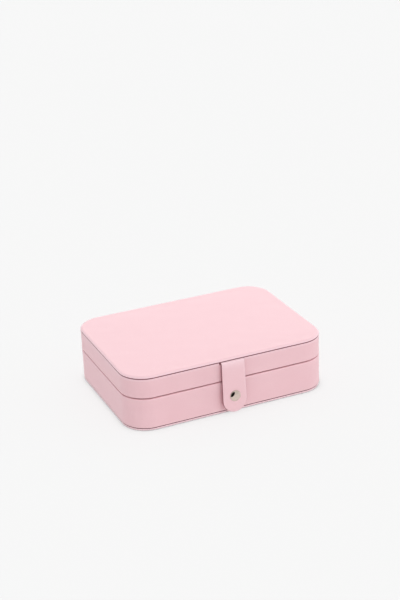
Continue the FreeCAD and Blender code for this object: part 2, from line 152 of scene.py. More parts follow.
# %% [markdown]
# ## Coated leather cloth
# The case is covered in coated leather: a knitted cloth under a thin layer of polyurethane that is embossed
# with a fine pebble grain, about half a millimetre across. It gives the eye a satin, even surface: soft broad
# highlights, a faint unevenness where glue and board show through, and edges that handling has made a little
# glossier. It could be painted by hand, but cells and noise at the grain's real size hold up close. IOR is
# 1.5, as on plastics; roughness starts from satin polyurethane. Two attributes on the mesh, each from 0 to 1,
# steer the colour. The first paints a lighter colour where rims, edges and folds catch the light, a painted
# highlight, and also lowers the roughness there, where handling has polished the coat. The second paints a
# darker colour as shade in seams, grooves, the tab's slot and the hole where the tab enters the wall, and also
# draws the tab's cut edges darker.

# %% Coated leather material
grain_width = 0.55 * mm
grain_depth = 0.035 * mm
pore_width = 0.16 * mm
blotch_width = 26 * mm


def coated_leather(name, colour, deeper, highlight_colour, crease, roughness):
    """Embossed polyurethane leather. Pebbles are cells with their borders pressed in."""
    material, shader, place = new_material(name)
    wander = add(material, "TexNoise", {"Vector": place, "Scale": 1 / (3 * grain_width), "Detail": 2.0})
    bent = add(material, "VectorMath", {0: wander.outputs["Color"], 1: (grain_width,) * 3},
               operation="MULTIPLY")
    where = add(material, "VectorMath", {0: place, 1: bent.outputs["Vector"]}, operation="ADD")
    pebbles = add(material, "TexVoronoi", {"Vector": where.outputs["Vector"], "Scale": 1 / grain_width},
                  feature="DISTANCE_TO_EDGE")
    crown = add(material, "MapRange", {"Value": pebbles.outputs["Distance"], "From Max": 0.35},
                interpolation_type="SMOOTHSTEP")
    pores = add(material, "TexNoise", {"Vector": place, "Scale": 1 / pore_width, "Detail": 3.0})
    blotches = add(material, "TexNoise", {"Vector": place, "Scale": 1 / blotch_width, "Detail": 3.0})
    shade = add(material, "MapRange", {"Value": blotches.outputs["Fac"], "From Min": 0.35, "From Max": 0.65,
                                       "To Min": 0.0, "To Max": 0.45})
    body = add(material, "Mix", {0: shade.outputs["Result"], 6: linear(colour), 7: linear(deeper)},
               data_type="RGBA")
    pressed = add(material, "MapRange", {"Value": crown.outputs["Result"], "To Min": 0.5, "To Max": 0.0})
    grained = add(material, "Mix", {0: pressed.outputs["Result"], 6: body.outputs[2], 7: linear(deeper)},
                  data_type="RGBA")
    # painted highlight: a lighter colour where edges and folds catch the light
    handled = add(material, "Attribute", attribute_name="handled")
    highlighted = add(material, "Mix", {0: handled.outputs["Fac"], 6: grained.outputs[2], 7: linear(highlight_colour)},
               data_type="RGBA")
    # painted shade: a darker colour in seams, slots and holes, which also draws the tab's cut edges darker
    shade_attribute = add(material, "Attribute", attribute_name="creased")
    creased = add(material, "Mix", {0: shade_attribute.outputs["Fac"], 6: highlighted.outputs[2], 7: linear(crease)},
                  data_type="RGBA")
    link(material, creased.outputs[2], shader.inputs["Base Color"])
    matt = add(material, "MapRange", {"Value": blotches.outputs["Fac"], "From Min": 0.3, "From Max": 0.7,
                                      "To Min": roughness + 0.05, "To Max": roughness - 0.04})
    rubbed = add(material, "Math", {0: handled.outputs["Fac"], 1: -0.10, 2: matt.outputs["Result"]},
                 operation="MULTIPLY_ADD")
    link(material, rubbed.outputs["Value"], shader.inputs["Roughness"])
    fine = add(material, "Bump", {"Height": pores.outputs["Fac"], "Strength": 0.25, "Distance": 0.02 * mm})
    embossed = add(material, "Bump", {"Height": crown.outputs["Result"], "Strength": 0.6,
                                      "Distance": grain_depth,
                                      "Normal": fine.outputs["Normal"]})
    link(material, embossed.outputs["Normal"], shader.inputs["Normal"])
    shader.inputs["IOR"].default_value = 1.5
    shader.inputs["Sheen Weight"].default_value = 0.06
    shader.inputs["Sheen Roughness"].default_value = 0.4
    return material


outer_leather = coated_leather("coated_leather_pink", leather_pink, "#f1c2c9", "#ffdbe2", "#904a57", 0.42)
print(outer_leather.name, "with pebbles of", grain_width / mm, "mm")

# %% [markdown]
# ## Surfaces from arrays
# Every new piece is a grid of points worked out at once with numpy. Where a grid closes on itself, or shrinks
# to a point, its doubled points are merged, which leaves one watertight skin. Each grid also gets a UV map in
# metres along its two directions, for patterns that follow the surface.

# %% Mesh from a grid
merge_within = 0.002 * mm


def surface(name, points, material, **attributes):
    """A smooth quad mesh over a grid of points, an array of (rows, columns, 3), or over several such grids.
    Each attribute is a number, or an array of (rows, columns)."""
    grids = points if isinstance(points, list) else [points]
    quads, uvs, start = [], [], 0
    for grid in grids:
        rows, columns = grid.shape[:2]
        index = start + np.arange(rows * columns).reshape(rows, columns)
        corners = [index[:-1, :-1], index[:-1, 1:], index[1:, 1:], index[1:, :-1]]
        quads.append(np.stack(corners, axis=-1).reshape(-1, 4))
        across = np.cumsum(np.linalg.norm(np.diff(grid, axis=1, prepend=grid[:, :1]), axis=-1), axis=1)
        along = np.cumsum(np.linalg.norm(np.diff(grid, axis=0, prepend=grid[:1]), axis=-1), axis=0)
        uvs.append(np.stack([across, along], axis=-1).reshape(-1, 2))
        start += rows * columns
    quads = np.concatenate(quads)
    mesh = bpy.data.meshes.new(name)
    mesh.from_pydata(np.concatenate([grid.reshape(-1, 3) for grid in grids]).tolist(), [], quads.tolist())
    mesh.uv_layers.new(name="cloth").data.foreach_set("uv", np.concatenate(uvs)[quads.ravel()].ravel())
    for key, values in attributes.items():
        flat = [np.broadcast_to(values, grid.shape[:2]).ravel() for grid in grids]
        layer = mesh.attributes.new(key, "FLOAT", "POINT")
        layer.data.foreach_set("value", np.concatenate(flat).astype(np.float32))
    skin = bmesh.new()
    skin.from_mesh(mesh)
    bmesh.ops.remove_doubles(skin, verts=skin.verts, dist=merge_within)
    bmesh.ops.dissolve_degenerate(skin, edges=skin.edges, dist=merge_within / 2)
    bmesh.ops.recalc_face_normals(skin, faces=skin.faces)
    skin.to_mesh(mesh)
    skin.free()
    mesh.shade_smooth()
    mesh.materials.append(material)
    return into_scene(name, mesh)


def fit(piece, body, slot, *nodes):
    """Hangs a finished piece on its body, in place of its plain engineering nodes."""
    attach(piece, body)
    if nodes:
        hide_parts(*nodes)
    print(f"{piece.name}: {len(piece.data.polygons)} faces on {body}")
    return piece


# %% [markdown]
# ## Unevenness
# Leather glued over board is never dead flat: it rises and falls by a few hundredths of a millimetre. A sum of
# sine waves in random directions, with lengths between two limits, draws that. The seed keeps it the same on
# every run.

# %% Smooth random waves
def uneven(points, height, shortest, longest, seed):
    """Sum of sine waves over points, an array that ends in x, y and z. Its typical rise is height."""
    chance = np.random.default_rng(seed)
    count = 16
    direction = chance.normal(size=(count, 3))
    direction /= np.linalg.norm(direction, axis=1, keepdims=True)
    length = np.exp(chance.uniform(math.log(shortest), math.log(longest), count))
    phase = chance.uniform(0, 2 * math.pi, count)
    waves = np.sin(points @ (direction * 2 * math.pi / length[:, None]).T + phase)
    return height * waves.sum(axis=-1) / math.sqrt(count)


# %% [markdown]
# ## The case's outline
# Seen from above, the case is a rounded rectangle. Each station on it is kept as a core point, on the smaller
# rectangle that the corner arcs turn about, and a direction outwards. A point at core + reach * outwards then
# lies on the outline itself, or on any outline inside it, so one set of stations serves every piece.

# %% Outline stations
wall_low, wall_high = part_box("base_wall_leather")
half_x, half_y = wall_high.x, wall_high.y
corner_radius = 25.5 * mm
core_x, core_y = half_x - corner_radius, half_y - corner_radius


def straight(start, end, wanted):
    """Stations on one side, at these shares of the way from start to end. The end is left to the next part."""
    shares = np.array(sorted(set(np.round(wanted, 6))))[:, None]
    return (1 - shares) * np.array(start) + shares * np.array(end)


def outline(spacing=2.6 * mm, corner_steps=18, front_extra=(), rear_extra=()):
    """Core points and outward directions round the case, from the middle of the back, anticlockwise."""
    def steps(length):
        return np.arange(0, 1, spacing / length)

    front = np.concatenate([steps(2 * core_x), [(x + core_x) / (2 * core_x) for x in front_extra]])
    rear = np.array(rear_extra) / core_x
    turn = np.linspace(0, math.pi / 2, corner_steps, endpoint=False)
    parts = []
    corners = [(-core_x, core_y), (-core_x, -core_y), (core_x, -core_y), (core_x, core_y)]
    sides = [
        straight(corners[0], corners[1], steps(2 * core_y)),
        straight(corners[1], corners[2], front),
        straight(corners[2], corners[3], steps(2 * core_y)),
        straight(corners[3], (0, core_y), np.concatenate([steps(core_x), 1 - rear[rear > 0]])),
    ]
    first = straight((0, core_y), corners[0], np.concatenate([steps(core_x), rear]))
    parts.append((first, np.full(len(first), math.pi / 2)))
    for number, (corner, side) in enumerate(zip(corners, sides)):
        angle = math.pi / 2 * (number + 1) + turn
        parts.append((np.broadcast_to(corner, (corner_steps, 2)), angle))
        parts.append((side, np.full(len(side), math.pi / 2 * (number + 2))))
    parts.append((first[:1], parts[0][1][:1]))
    core = np.concatenate([p for p, _ in parts])
    angle = np.concatenate([a for _, a in parts])
    return core, np.stack([np.cos(angle), np.sin(angle)], axis=-1)


def sweep(inset, z, core, outwards):
    """Carries a profile of insets and heights round the outline: (core + outwards * (radius - inset), z)."""
    reach = (corner_radius - np.asarray(inset))[:, None, None]
    flat = core[None] + outwards[None] * reach
    return np.concatenate([flat, np.broadcast_to(np.asarray(z)[:, None, None], flat.shape[:2] + (1,))], axis=-1)


core, outwards = outline()
print(len(core), "stations round the case")


# %% [markdown]
# ## Profiles with round corners
# The section of a wrapped wall is a folded strip. It is drawn as straight edges, and each corner is rounded
# with an arc of its own radius, because leather turns gently over an outer edge and sharply inside it.

# %% Rounded profile
def rounded(corners, radii, spacing, closed=True, arc_steps=6):
    """Points along straight edges whose corners are arcs, about spacing apart on the straights."""
    corners = np.array(corners, float)
    radii = np.array(radii, float)
    back_to = np.roll(corners, 1, axis=0) - corners
    on_to = np.roll(corners, -1, axis=0) - corners
    back_to /= np.linalg.norm(back_to, axis=1, keepdims=True)
    on_to /= np.linalg.norm(on_to, axis=1, keepdims=True)
    half = np.arccos(np.clip((back_to * on_to).sum(axis=1), -1, 1)) / 2
    bisector = (back_to + on_to) / np.linalg.norm(back_to + on_to, axis=1, keepdims=True)
    centre = corners + bisector * (radii / np.sin(half))[:, None]
    cut = (radii / np.tan(half))[:, None]
    start, end = corners + back_to * cut - centre, corners + on_to * cut - centre
    sweep_angle = (math.pi - 2 * half)[:, None, None]
    t = np.linspace(0, 1, arc_steps)[None, :, None]
    arcs = start[:, None] * np.sin((1 - t) * sweep_angle) + end[:, None] * np.sin(t * sweep_angle)
    arcs = list(centre[:, None] + arcs / np.sin(sweep_angle))
    if not closed:
        arcs[0], arcs[-1] = corners[:1], corners[-1:]
    line = []
    for number, arc in enumerate(arcs):
        line.append(arc)
        if closed or number < len(arcs) - 1:
            following = arcs[(number + 1) % len(arcs)][0]
            count = max(2, int(np.linalg.norm(following - arc[-1]) / spacing) + 1)
            line.append(np.linspace(arc[-1], following, count + 1)[1:-1])
    if closed:
        line.append(arcs[0][:1])
    return np.concatenate(line)


print(len(rounded([(0, 0), (1, 0), (1, 1), (0, 1)], [0.1] * 4, 0.2)), "points round a rounded square")

# %% [markdown]
# ## Wrapped walls
# Each wall is board with leather stretched round it, turned over the rim and glued down inside. The leather's
# two ends meet at the middle of the back in a butt seam. Between the seams the leather pulls in very slightly,
# and at a rim the fold stands a little proud; that, with a painted highlight, a lighter colour along each rim
# and edge, draws a bright line along each seam. Under the panel only the outer edge is pressed down, and the
# leather slopes back up to meet the panel, so the board stays hidden in the seam; that flat is painted dark as
# shade. The lid's wall has a shallow notch at the front, where the tab comes out, also painted dark as shade. A
# swept profile gives all that exactly, where a box with a bevel could not.

# %% Wrapped walls
leather = 0.8 * mm
wall_thick = 4.6 * mm            # leather, board and leather again
turn_in = 8.0 * mm
wall_bow = 0.16 * mm             # how far the leather pulls in between its edges
rim_swell = 0.12 * mm            # how far the folded edges stand proud
seam_width = 0.5 * mm
seam_depth = 0.28 * mm
base_settle = 0.68 * mm          # handling packs the rims down, the lower one most, so their gap widens
lid_settle = 0.25 * mm
panel_press = 0.30 * mm          # gluing the panel on presses the lid wall's outer edge down
edge_round = 0.78 * mm           # of the outer edge beside a panel
inner_round = 0.9 * mm           # of the rim on its inner side
rim_fade, edge_fade = 1.0 * mm, 0.9 * mm   # how far from the rim and the edge the painted highlight and polish reach
rear_columns = [0.2 * mm, 0.4 * mm, 0.6 * mm, 0.9 * mm, 1.4 * mm]
tab_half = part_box("tab_face")[1].x
slot_half = tab_half + 0.15 * mm
slot_depth = 1.1 * mm
tab_columns = [s * (slot_half + d * mm) for s in (-1, 1) for d in (-0.5, -0.05, 0.05, 0.5)]
wall_core, wall_out = outline(front_extra=tab_columns, rear_extra=rear_columns)


def wrapped_wall(rim, panel_side, press, rim_round, rim_highlight, edge_highlight, seed):
    """Leather round a wall from the edge at its panel to the rim at the case's seam, and turned in there. At
    share s of the way it leans in by bow * sin(pi s) - swell * (s^12 + (1 - s)^12), whose high powers keep the
    swell close to the two ends."""
    down = 1 if rim < panel_side else -1   # from the rim back towards the panel
    edge = panel_side - down * press
    profile = rounded(
        [(0, edge), (0, rim), (wall_thick, rim), (wall_thick, rim + down * turn_in),
         (wall_thick - leather, rim + down * turn_in), (wall_thick - leather, rim + down * leather),
         (leather, rim + down * leather), (leather, panel_side)],
        [edge_round, rim_round, inner_round, 0.25 * mm, 0.1 * mm, 0.1 * mm, 0.1 * mm, 0.02 * mm],
        spacing=2.2 * mm)
    inset, z = profile.T
    share = np.clip((z - edge) / (rim - edge), 0, 1)
    outer = inset < 0.3 * mm
    bow = np.where(outer, wall_bow * np.sin(math.pi * share) - rim_swell * (share**12 + (1 - share) ** 12), 0)
    points = sweep(inset + bow, z, wall_core, wall_out)
    x, y = points[..., 0], points[..., 1]
    at_rear = (y > 0) & outer[:, None]
    seam = np.where(at_rear, seam_depth * np.exp(-((x / seam_width) ** 2)), 0)
    rise = np.where(outer[:, None], uneven(points, 0.035 * mm, 9 * mm, 60 * mm, seed), 0) - seam
    points[..., :2] += rise[..., None] * wall_out[None]
    # painted highlight: a lighter colour along the rim and the edge, which also polishes them a little
    rim_and_edge_highlight = rim_highlight * np.exp(-(((z - rim) / rim_fade) ** 2))
    rim_and_edge_highlight += edge_highlight * np.exp(-(((z - edge) / edge_fade) ** 2))
    rim_and_edge_highlight = rim_and_edge_highlight * np.clip((0.7 * mm - inset) / (0.4 * mm), 0, 1)
    # painted shade: the flat under the panel is coloured dark
    under_panel = (np.abs(z - edge) < 0.4 * mm) & (inset > 0.2 * mm)
    shape = points.shape[:2]
    return points, np.broadcast_to(rim_and_edge_highlight[:, None], shape), np.broadcast_to(under_panel[:, None], shape)


lid_low, lid_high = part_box("lid_wall_leather")
base_points, base_handled, base_creased = wrapped_wall(wall_high.z - base_settle, wall_low.z, 0, 1.0 * mm,
                                                      0.5, 0.25, 3)
base_cover = surface("base_wall_cover", base_points, outer_leather, handled=base_handled, creased=base_creased)
fit(base_cover, "base", "pink_leather", "base_wall_leather")

lid_points, lid_handled, lid_creased = wrapped_wall(lid_low.z + lid_settle, lid_high.z, panel_press, 0.7 * mm,
                                                   0.15, 0.9, 5)
in_slot = (np.abs(lid_points[..., 0]) < slot_half) & (lid_points[..., 1] < 0)
slot_floor = lid_high.z - slot_depth
# painted shade: the slot where the tab comes out is coloured dark too
lid_creased = lid_creased | (in_slot & (lid_points[..., 2] > slot_floor - 0.3 * mm))
lid_points[..., 2] = np.where(in_slot, np.minimum(lid_points[..., 2], slot_floor), lid_points[..., 2])
lid_cover = surface("lid_wall_cover", lid_points, outer_leather, handled=lid_handled, creased=lid_creased)
fit(lid_cover, "lid", "pink_leather", "lid_wall_leather")

# %% [markdown]
# ## Padded lid panel and plain base panel
# The lid's panel is board with thin foam on it, covered in leather that is drawn down over the edge and glued
# underneath. The foam makes the top crown a little and gives the edge its soft, wide round. The base has the
# same panel without the foam, so its edge is crisper. Both are one closed skin: a profile from the middle of
# the underside, out round the edge, and back to the middle of the top. Inside the edge, the outline is scaled
# down towards the middle, so that its corners stay round all the way. A narrow groove runs under the edge,
# where the leather is tucked in against the wall. The groove and the underside are painted dark as shade, which
# draws the seam as a thin dark line, and the edge above gets a lighter colour, a painted highlight.

# %% Panels
highlight_inset = 1.6 * mm          # the edge's painted highlight and polish end this far in


def panel(profile, crown, ripple, seed, edge_z=-1):
    """Sweeps profile, (inset, height) from the underside to the top, and closes both faces to their middles.
    On the faces the ring shrinks by a scale s, and the top rises by crown * (1 - s^6). The underside and
    whatever lies below edge_z are painted dark as shade, and the painted highlight and polish fade from full
    there to none at the top."""
    inset, z = profile.T
    rim = sweep(inset, z, core, outwards)
    scale = np.concatenate([np.linspace(1, 0.8, 14)[1:], np.linspace(0.8, 0, 12)[1:]])[:, None, None]
    shrink = np.concatenate([scale, scale, np.ones_like(scale)], axis=2)
    under, top = rim[:1] * shrink[::-1], rim[-1:] * shrink
    top[..., 2] += crown * (1 - scale[..., 0] ** 6)
    points = np.concatenate([under, rim, top])
    on_top = np.concatenate([np.zeros(len(under)), np.linspace(0, 1, len(rim)) ** 2, np.ones(len(top))])
    points[..., 2] += uneven(points * (1, 1, 0), ripple, 12 * mm, 80 * mm, seed) * on_top[:, None]
    below = z < edge_z + 0.05 * mm
    height = (z - edge_z) / (z.max() - edge_z)
    # painted highlight: a lighter colour on the edge, fading towards the top
    panel_edge_highlight = np.where(below | (inset > highlight_inset), 0, np.clip((1 - height) / 0.35, 0, 1))
    handled = np.concatenate([np.zeros(len(under)), panel_edge_highlight, np.zeros(len(top))])
    # painted shade: the whole underside and the groove below the edge are coloured dark
    groove_shade = np.concatenate([np.ones(len(under)), below, np.zeros(len(top))])
    shape = points.shape[:2]
    return points, np.broadcast_to(handled[:, None], shape), np.broadcast_to(groove_shade[:, None], shape)


top_low, top_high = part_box("top_panel_leather")
seam_gap = 0.85 * mm             # height of the groove
groove_inset = 0.47 * mm         # the leather goes in under the edge, down round the board, and in again
overhang = top_high.x - half_x
crown = 0.35 * mm
shoulder = top_high.z - crown
shoulder_inset = 1.1 * mm        # the soft edge slopes in this far on its way up
squeeze = np.array([1, 2.2])     # the soft edge is round when heights are drawn this much larger
top_profile = rounded(
    squeeze * [(16 * mm, top_low.z), (groove_inset, top_low.z), (groove_inset, top_low.z + seam_gap),
               (-overhang, top_low.z + seam_gap), (shoulder_inset, shoulder), (9 * mm, shoulder)],
    [0, 0.05 * mm, 0.1 * mm, 0.3 * mm, 2.6 * mm, 0], 1.5 * mm, closed=False, arc_steps=14) / squeeze
top_points, top_handled, top_shade = panel(top_profile, top_high.z - shoulder, 0.05 * mm, 11,
                                            top_low.z + seam_gap)
top_panel = surface("top_panel_cover", top_points, outer_leather, handled=top_handled, creased=top_shade)
fit(top_panel, "lid", "pink_leather", "top_panel_leather")

bottom_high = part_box("bottom_panel_leather")[1]
bottom_inset = half_x - bottom_high.x
foot_gap = 0.65 * mm             # its groove's height, and how far it goes in
foot_groove = 0.7 * mm
bottom_profile = rounded(
    [(8 * mm, bottom_high.z), (bottom_inset + foot_groove, bottom_high.z),
     (bottom_inset + foot_groove, bottom_high.z - foot_gap), (bottom_inset, bottom_high.z - foot_gap),
     (bottom_inset, 0), (12 * mm, 0)],
    [0, 0.05 * mm, 0.1 * mm, 0.3 * mm, 1.0 * mm, 0], 1.5 * mm, closed=False)
bottom_points, bottom_handled, bottom_shade = panel(bottom_profile * (1, -1), 0, 0, 12,
                                                     foot_gap - bottom_high.z)
bottom_points[..., 2] *= -1      # made upside down, and turned over here
bottom_panel = surface("bottom_panel_cover", bottom_points, outer_leather, handled=bottom_handled,
                       creased=bottom_shade)
fit(bottom_panel, "base", "pink_leather", "bottom_panel_leather")

# %% [markdown]
# ## Tab
# The tab is two leather tongues glued back to back. The outer one starts under the lid's panel, comes out
# through the top of the wall, bends over and hangs down in front, leaning out a little to reach the snap. Its
# shape seen flat is a stadium: every point lies at some distance from a middle line. So the tongue is drawn
# flat first, as a ring of stations round the stadium with a cushion-edged profile, and then bent along its
# path. An armature could bend it too, but a path of two straight runs and an arc is exact. The tab was cut and
# glued by hand, so at its fold it is a little narrower than at its end, and sits a little to one side.

# %% Flat tongues and plates
def stadium(start, end, radius, thickness, edge, spacing):
    """A flat tongue from start to end with half-round ends, as distances across, along and off its middle
    plane. Every ring lies at some inset from the outline. Half the thickness at inset d is
    t/2 * sqrt(1 - (1 - d/e)^2) up to the edge width e, and then t/2."""
    low, high = start + radius, end - radius
    line = np.linspace(low, high, int((high - low) / spacing) + 2)
    turn = np.linspace(0, math.pi, 40)[1:-1]
    held = np.ones(len(turn))
    heart = np.concatenate([line, high * held, line[::-1], low * held, line[:1]])
    right, left = np.zeros(len(line)), np.full(len(line), math.pi)
    angle = np.concatenate([right, turn, left, math.pi + turn, [2 * math.pi]])
    around = np.linspace(0, math.pi / 2, 8)
    inset = np.concatenate([edge * (1 - np.cos(around)), np.linspace(edge, radius, 10)[1:]])
    half = thickness / 2 * np.concatenate([np.sin(around), np.ones(9)])
    inset = np.concatenate([inset[::-1], inset[1:]])
    off = np.concatenate([half[::-1], -half[1:]])
    reach = (radius - inset)[:, None]
    across, along = reach * np.cos(angle), heart + reach * np.sin(angle)
    return across, along, np.broadcast_to(off[:, None], across.shape)


def normals(line):
    """The unit normals of a closed flat line, away from its middle, and that middle."""
    along = np.roll(line[:-1], -1, axis=0) - np.roll(line[:-1], 1, axis=0)
    along = np.concatenate([along, along[:1]])
    normal = np.stack([along[:, 1], -along[:, 0]], axis=1) / np.linalg.norm(along, axis=1, keepdims=True)
    middle = line[:-1].mean(axis=0)
    return normal * np.sign(((line - middle) * normal).sum()), middle


def plate(corners, radii, thickness, edge, spacing, arc_steps=6):
    """A flat plate with any rounded outline and cushion edges, as distances u, v and off its middle plane.
    The rings shrink inwards along the outline's normals over the edge, and then scale down to the middle."""
    line = rounded(corners, radii, spacing, arc_steps=arc_steps)
    normal, middle = normals(line)
    around = np.linspace(0, math.pi / 2, 7)
    rings = line - normal * (edge * (1 - np.cos(around)))[:, None, None]
    scale = np.linspace(1, 0, 7)[1:, None, None]
    rings = np.concatenate([rings, middle + (rings[-1:] - middle) * scale])
    half = thickness / 2 * np.concatenate([np.sin(around), np.ones(6)])
    rings = np.concatenate([rings[::-1], rings[1:]])
    off = np.concatenate([half[::-1], -half[1:]])
    return rings[..., 0], rings[..., 1], np.broadcast_to(off[:, None], rings.shape[:2])


# %% Tab tongues
tab_layer = 1.1 * mm
fold_y = wall_low.y - 0.5 * mm - tab_layer    # clear of the wall, behind the outer leather
fold_z = lid_high.z - 0.1 * mm - tab_layer
tab_length = 50.8 * mm           # from the fold down to the tab's end
snap_drop = 34.44 * mm           # from the fold down to the snap
snap_stand_off = 2.7 * mm        # the closed snap holds the tab this much further out than the fold is,
snap_below = 34.6 * mm           # at this height below it
tab_lean = math.atan2(snap_stand_off, snap_below)
bend_radius = 1.15 * mm          # at the middle of the outer leather
lean_sin, lean_cos = math.sin(tab_lean), math.cos(tab_lean)
level_z = lid_high.z - 0.6 * mm  # of the outer leather's middle, inside the wall
bend_angle = math.pi / 2 - tab_lean
tangent = bend_radius * math.tan(bend_angle / 2)
corner_drop = (fold_z + tab_layer / 2 * lean_sin - level_z) / lean_cos
corner_y = fold_y - tab_layer / 2 * lean_cos - corner_drop * lean_sin
outer_end = bend_radius * bend_angle + tab_length - corner_drop - tangent


def bent(across, along, off):
    """Bends a flat tongue: level as far as along 0, then an arc, then down and outwards by the lean."""
    turned = np.clip(along / bend_radius, 0, bend_angle)
    level = np.minimum(along, 0)
    past = np.maximum(along - bend_radius * bend_angle, 0)
    y = corner_y + tangent - level - bend_radius * np.sin(turned) - past * lean_sin - off * np.sin(turned)
    z = level_z - bend_radius * (1 - np.cos(turned)) - past * lean_cos + off * np.cos(turned)
    return np.stack([across, y, z], axis=-1)


def hung(across, drop, off):
    """Places a point of the hanging tab: drop below the fold, and off outwards from the fold's plane."""
    across, drop, off = np.broadcast_arrays(across, drop, off)
    return np.stack([across, fold_y - off * lean_cos - drop * lean_sin,
                     fold_z + off * lean_sin - drop * lean_cos], axis=-1)


fold_narrowing = 0.045           # share of the tab's width
fold_shift = 0.58 * mm
inside_from, inside_over = 2.8 * mm, 0.4 * mm   # it fades out this far behind the fold, over this much


def skewed(across, drop):
    """Pulls the tab narrower and to one side by a share that is 1 at the fold, and fades to nothing at the
    tab's end and inside the wall: across * (1 - narrowing * share) + shift * share."""
    inside = np.clip((drop + inside_from + inside_over) / inside_over, 0, 1)
    share = np.clip(1 - drop / tab_length, 0, 1) * inside
    return across * (1 - fold_narrowing * share) + fold_shift * share


# %% Outer tongue
fold_along = outer_end - tab_length   # where along the tongue the fold lies
root_end = corner_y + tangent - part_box("tab_root")[1].y
root_spare = 9.0 * mm            # drawn this much too long, and then shortened inside the wall, so that
root_flat = -2.2 * mm            # the rows that fan out at its round end stay clear of the bend
across, along, off = stadium(root_end - root_spare, outer_end, tab_half, tab_layer, 0.42 * mm, 0.5 * mm)
shortened = (root_end - root_flat) / (root_end - root_spare - root_flat)
along = np.where(along < root_flat, root_flat + (along - root_flat) * shortened, along)
cap_radius = 5.55 * mm           # its rim presses the leather in round it
from_snap = np.hypot(across, along - (fold_along + snap_drop))
dimple = -0.12 * mm * np.exp(-(((from_snap - cap_radius) / (0.9 * mm)) ** 2)) * (off > 0)
flat = np.stack([across, along, 0 * across], axis=-1)
ripple = uneven(flat, 0.03 * mm, 8 * mm, 30 * mm, 21)
across = skewed(across, along - fold_along)


def cut_edge(off, half):
    """1 at the middle of a cut edge's thickness, 0 from two thirds of the way to each face."""
    return np.clip(3 - np.abs(off) / half * 3, 0, 1)


# the root, tucked away inside the wall, is painted dark as shade, and the cut edges are drawn darker; the
# face's edges and, most of all, the fold get a painted highlight, fading down the tab
in_wall = np.clip((-1.2 * mm - along) / (0.3 * mm), 0, 1)
face_edge = np.clip(1 - (tab_half - np.abs(across)) / (1.2 * mm), 0, 1) * (off > 0.4 * tab_layer)
highlighted = 0.15 + 0.85 * np.exp(-np.maximum(along - 1.5 * mm, 0) / (4 * mm))
tab_outer = surface("tab_outer", bent(across, along, off + dimple + ripple), outer_leather,
                    handled=np.maximum(0.8 * face_edge, highlighted),
                    creased=np.maximum(cut_edge(off, tab_layer / 2), in_wall))
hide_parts("tab_face", "tab_root")
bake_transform(tab_outer)

# %% Inner tongue
tab_top = tab_layer + 0.1 * mm
backing = 1.0 * mm               # its thickness
side = tab_half - 0.05 * mm
end_round = side - 0.3 * mm      # a little under half the width, because two arcs that meet leave slivers
u, v, off = plate([(-side, tab_top), (side, tab_top), (side, tab_length), (-side, tab_length)],
                  [1.2 * mm, 1.2 * mm, end_round, end_round], backing, 0.4 * mm, 1.6 * mm, arc_steps=18)
# its cut edges are drawn darker, like the outer tongue's
tab_inner = surface("tab_inner", hung(skewed(u, v), v, off - 0.6 * mm), outer_leather, handled=0.0,
                    creased=cut_edge(off, backing / 2))
fit(tab_inner, "tab", "pink_leather", "tab_backing")
print("tab leans out by", round(math.degrees(tab_lean), 2), "degrees")

# %% [markdown]
# ## Nickel plate
# The snap, hinges and hooks are steel or brass with a bright nickel plate. Nickel is a warm pale grey metal.
# Plating levels the surface like a mirror, and use leaves hairline scratches a few hundredths of a millimetre
# wide and a slight haze. The scratches here are drawn a little coarser than that, so that they show.

# %% Nickel plate material
scratch_width = 0.09 * mm


def nickel_plate(name, colour, hazed, roughness):
    """Bright plate: hairlines from stretched noise, and haze from broad noise."""
    material, shader, place = new_material(name)
    stretched = add(material, "Mapping", {"Vector": place, "Scale": (0.12, 1.0, 1.0)}, vector_type="POINT")
    hairlines = add(material, "TexNoise", {"Vector": stretched.outputs["Vector"], "Scale": 1 / scratch_width,
                                           "Detail": 2.0})
    haze = add(material, "TexNoise", {"Vector": place, "Scale": 1 / (2.5 * mm), "Detail": 4.0})
    scratched = add(material, "MapRange", {"Value": hairlines.outputs["Fac"], "From Min": 0.62,
                                           "From Max": 0.75, "To Max": 0.10})
    rough = add(material, "MapRange", {"Value": haze.outputs["Fac"], "From Min": 0.3, "From Max": 0.7,
                                       "To Min": roughness, "To Max": roughness + 0.05})
    total = add(material, "Math", {0: scratched.outputs["Result"], 1: rough.outputs["Result"]}, operation="ADD")
    link(material, total.outputs["Value"], shader.inputs["Roughness"])
    tarnish = add(material, "Mix", {0: haze.outputs["Fac"], 6: linear(colour), 7: linear(hazed)},
                  data_type="RGBA")
    link(material, tarnish.outputs[2], shader.inputs["Base Color"])
    shader.inputs["Metallic"].default_value = 1.0
    dents = add(material, "Bump", {"Height": hairlines.outputs["Fac"], "Strength": 0.08, "Distance": 0.01 * mm})
    link(material, dents.outputs["Normal"], shader.inputs["Normal"])
    return material


nickel = nickel_plate("nickel_plated_brass", "#e4d0c6", "#cbbcb0", 0.06)
print(nickel.name, "with hairlines of", scratch_width / mm, "mm")

# %% [markdown]
# ## Snap
# A spring snap is stamped from thin sheet: a domed cap with a rolled rim on the outside of the tab, a ring
# behind it that grips, and a necked stud on the case's wall. Each is round about one line, so each is a
# profile turned about that line. The cap was pressed in by hand, half a millimetre off the tab's middle.

# %% Turned parts
def turned(name, profile, centre, axis, material, steps=72):
    """Turns a profile of (radius, height) about axis: centre + height * axis + radius * (cos a, sin a)."""
    axis = np.array(axis, float) / np.linalg.norm(axis)
    side = np.cross(axis, (1, 0, 0)) if abs(axis[0]) < 0.9 else np.cross(axis, (0, 1, 0))
    side /= np.linalg.norm(side)
    other = np.cross(axis, side)
    angle = np.linspace(0, 2 * math.pi, steps + 1)
    spoke = np.cos(angle)[:, None] * side + np.sin(angle)[:, None] * other
    profile = np.array(profile)
    points = np.array(centre) + profile[:, 1, None, None] * axis + profile[:, 0, None, None] * spoke
    return surface(name, points, material)


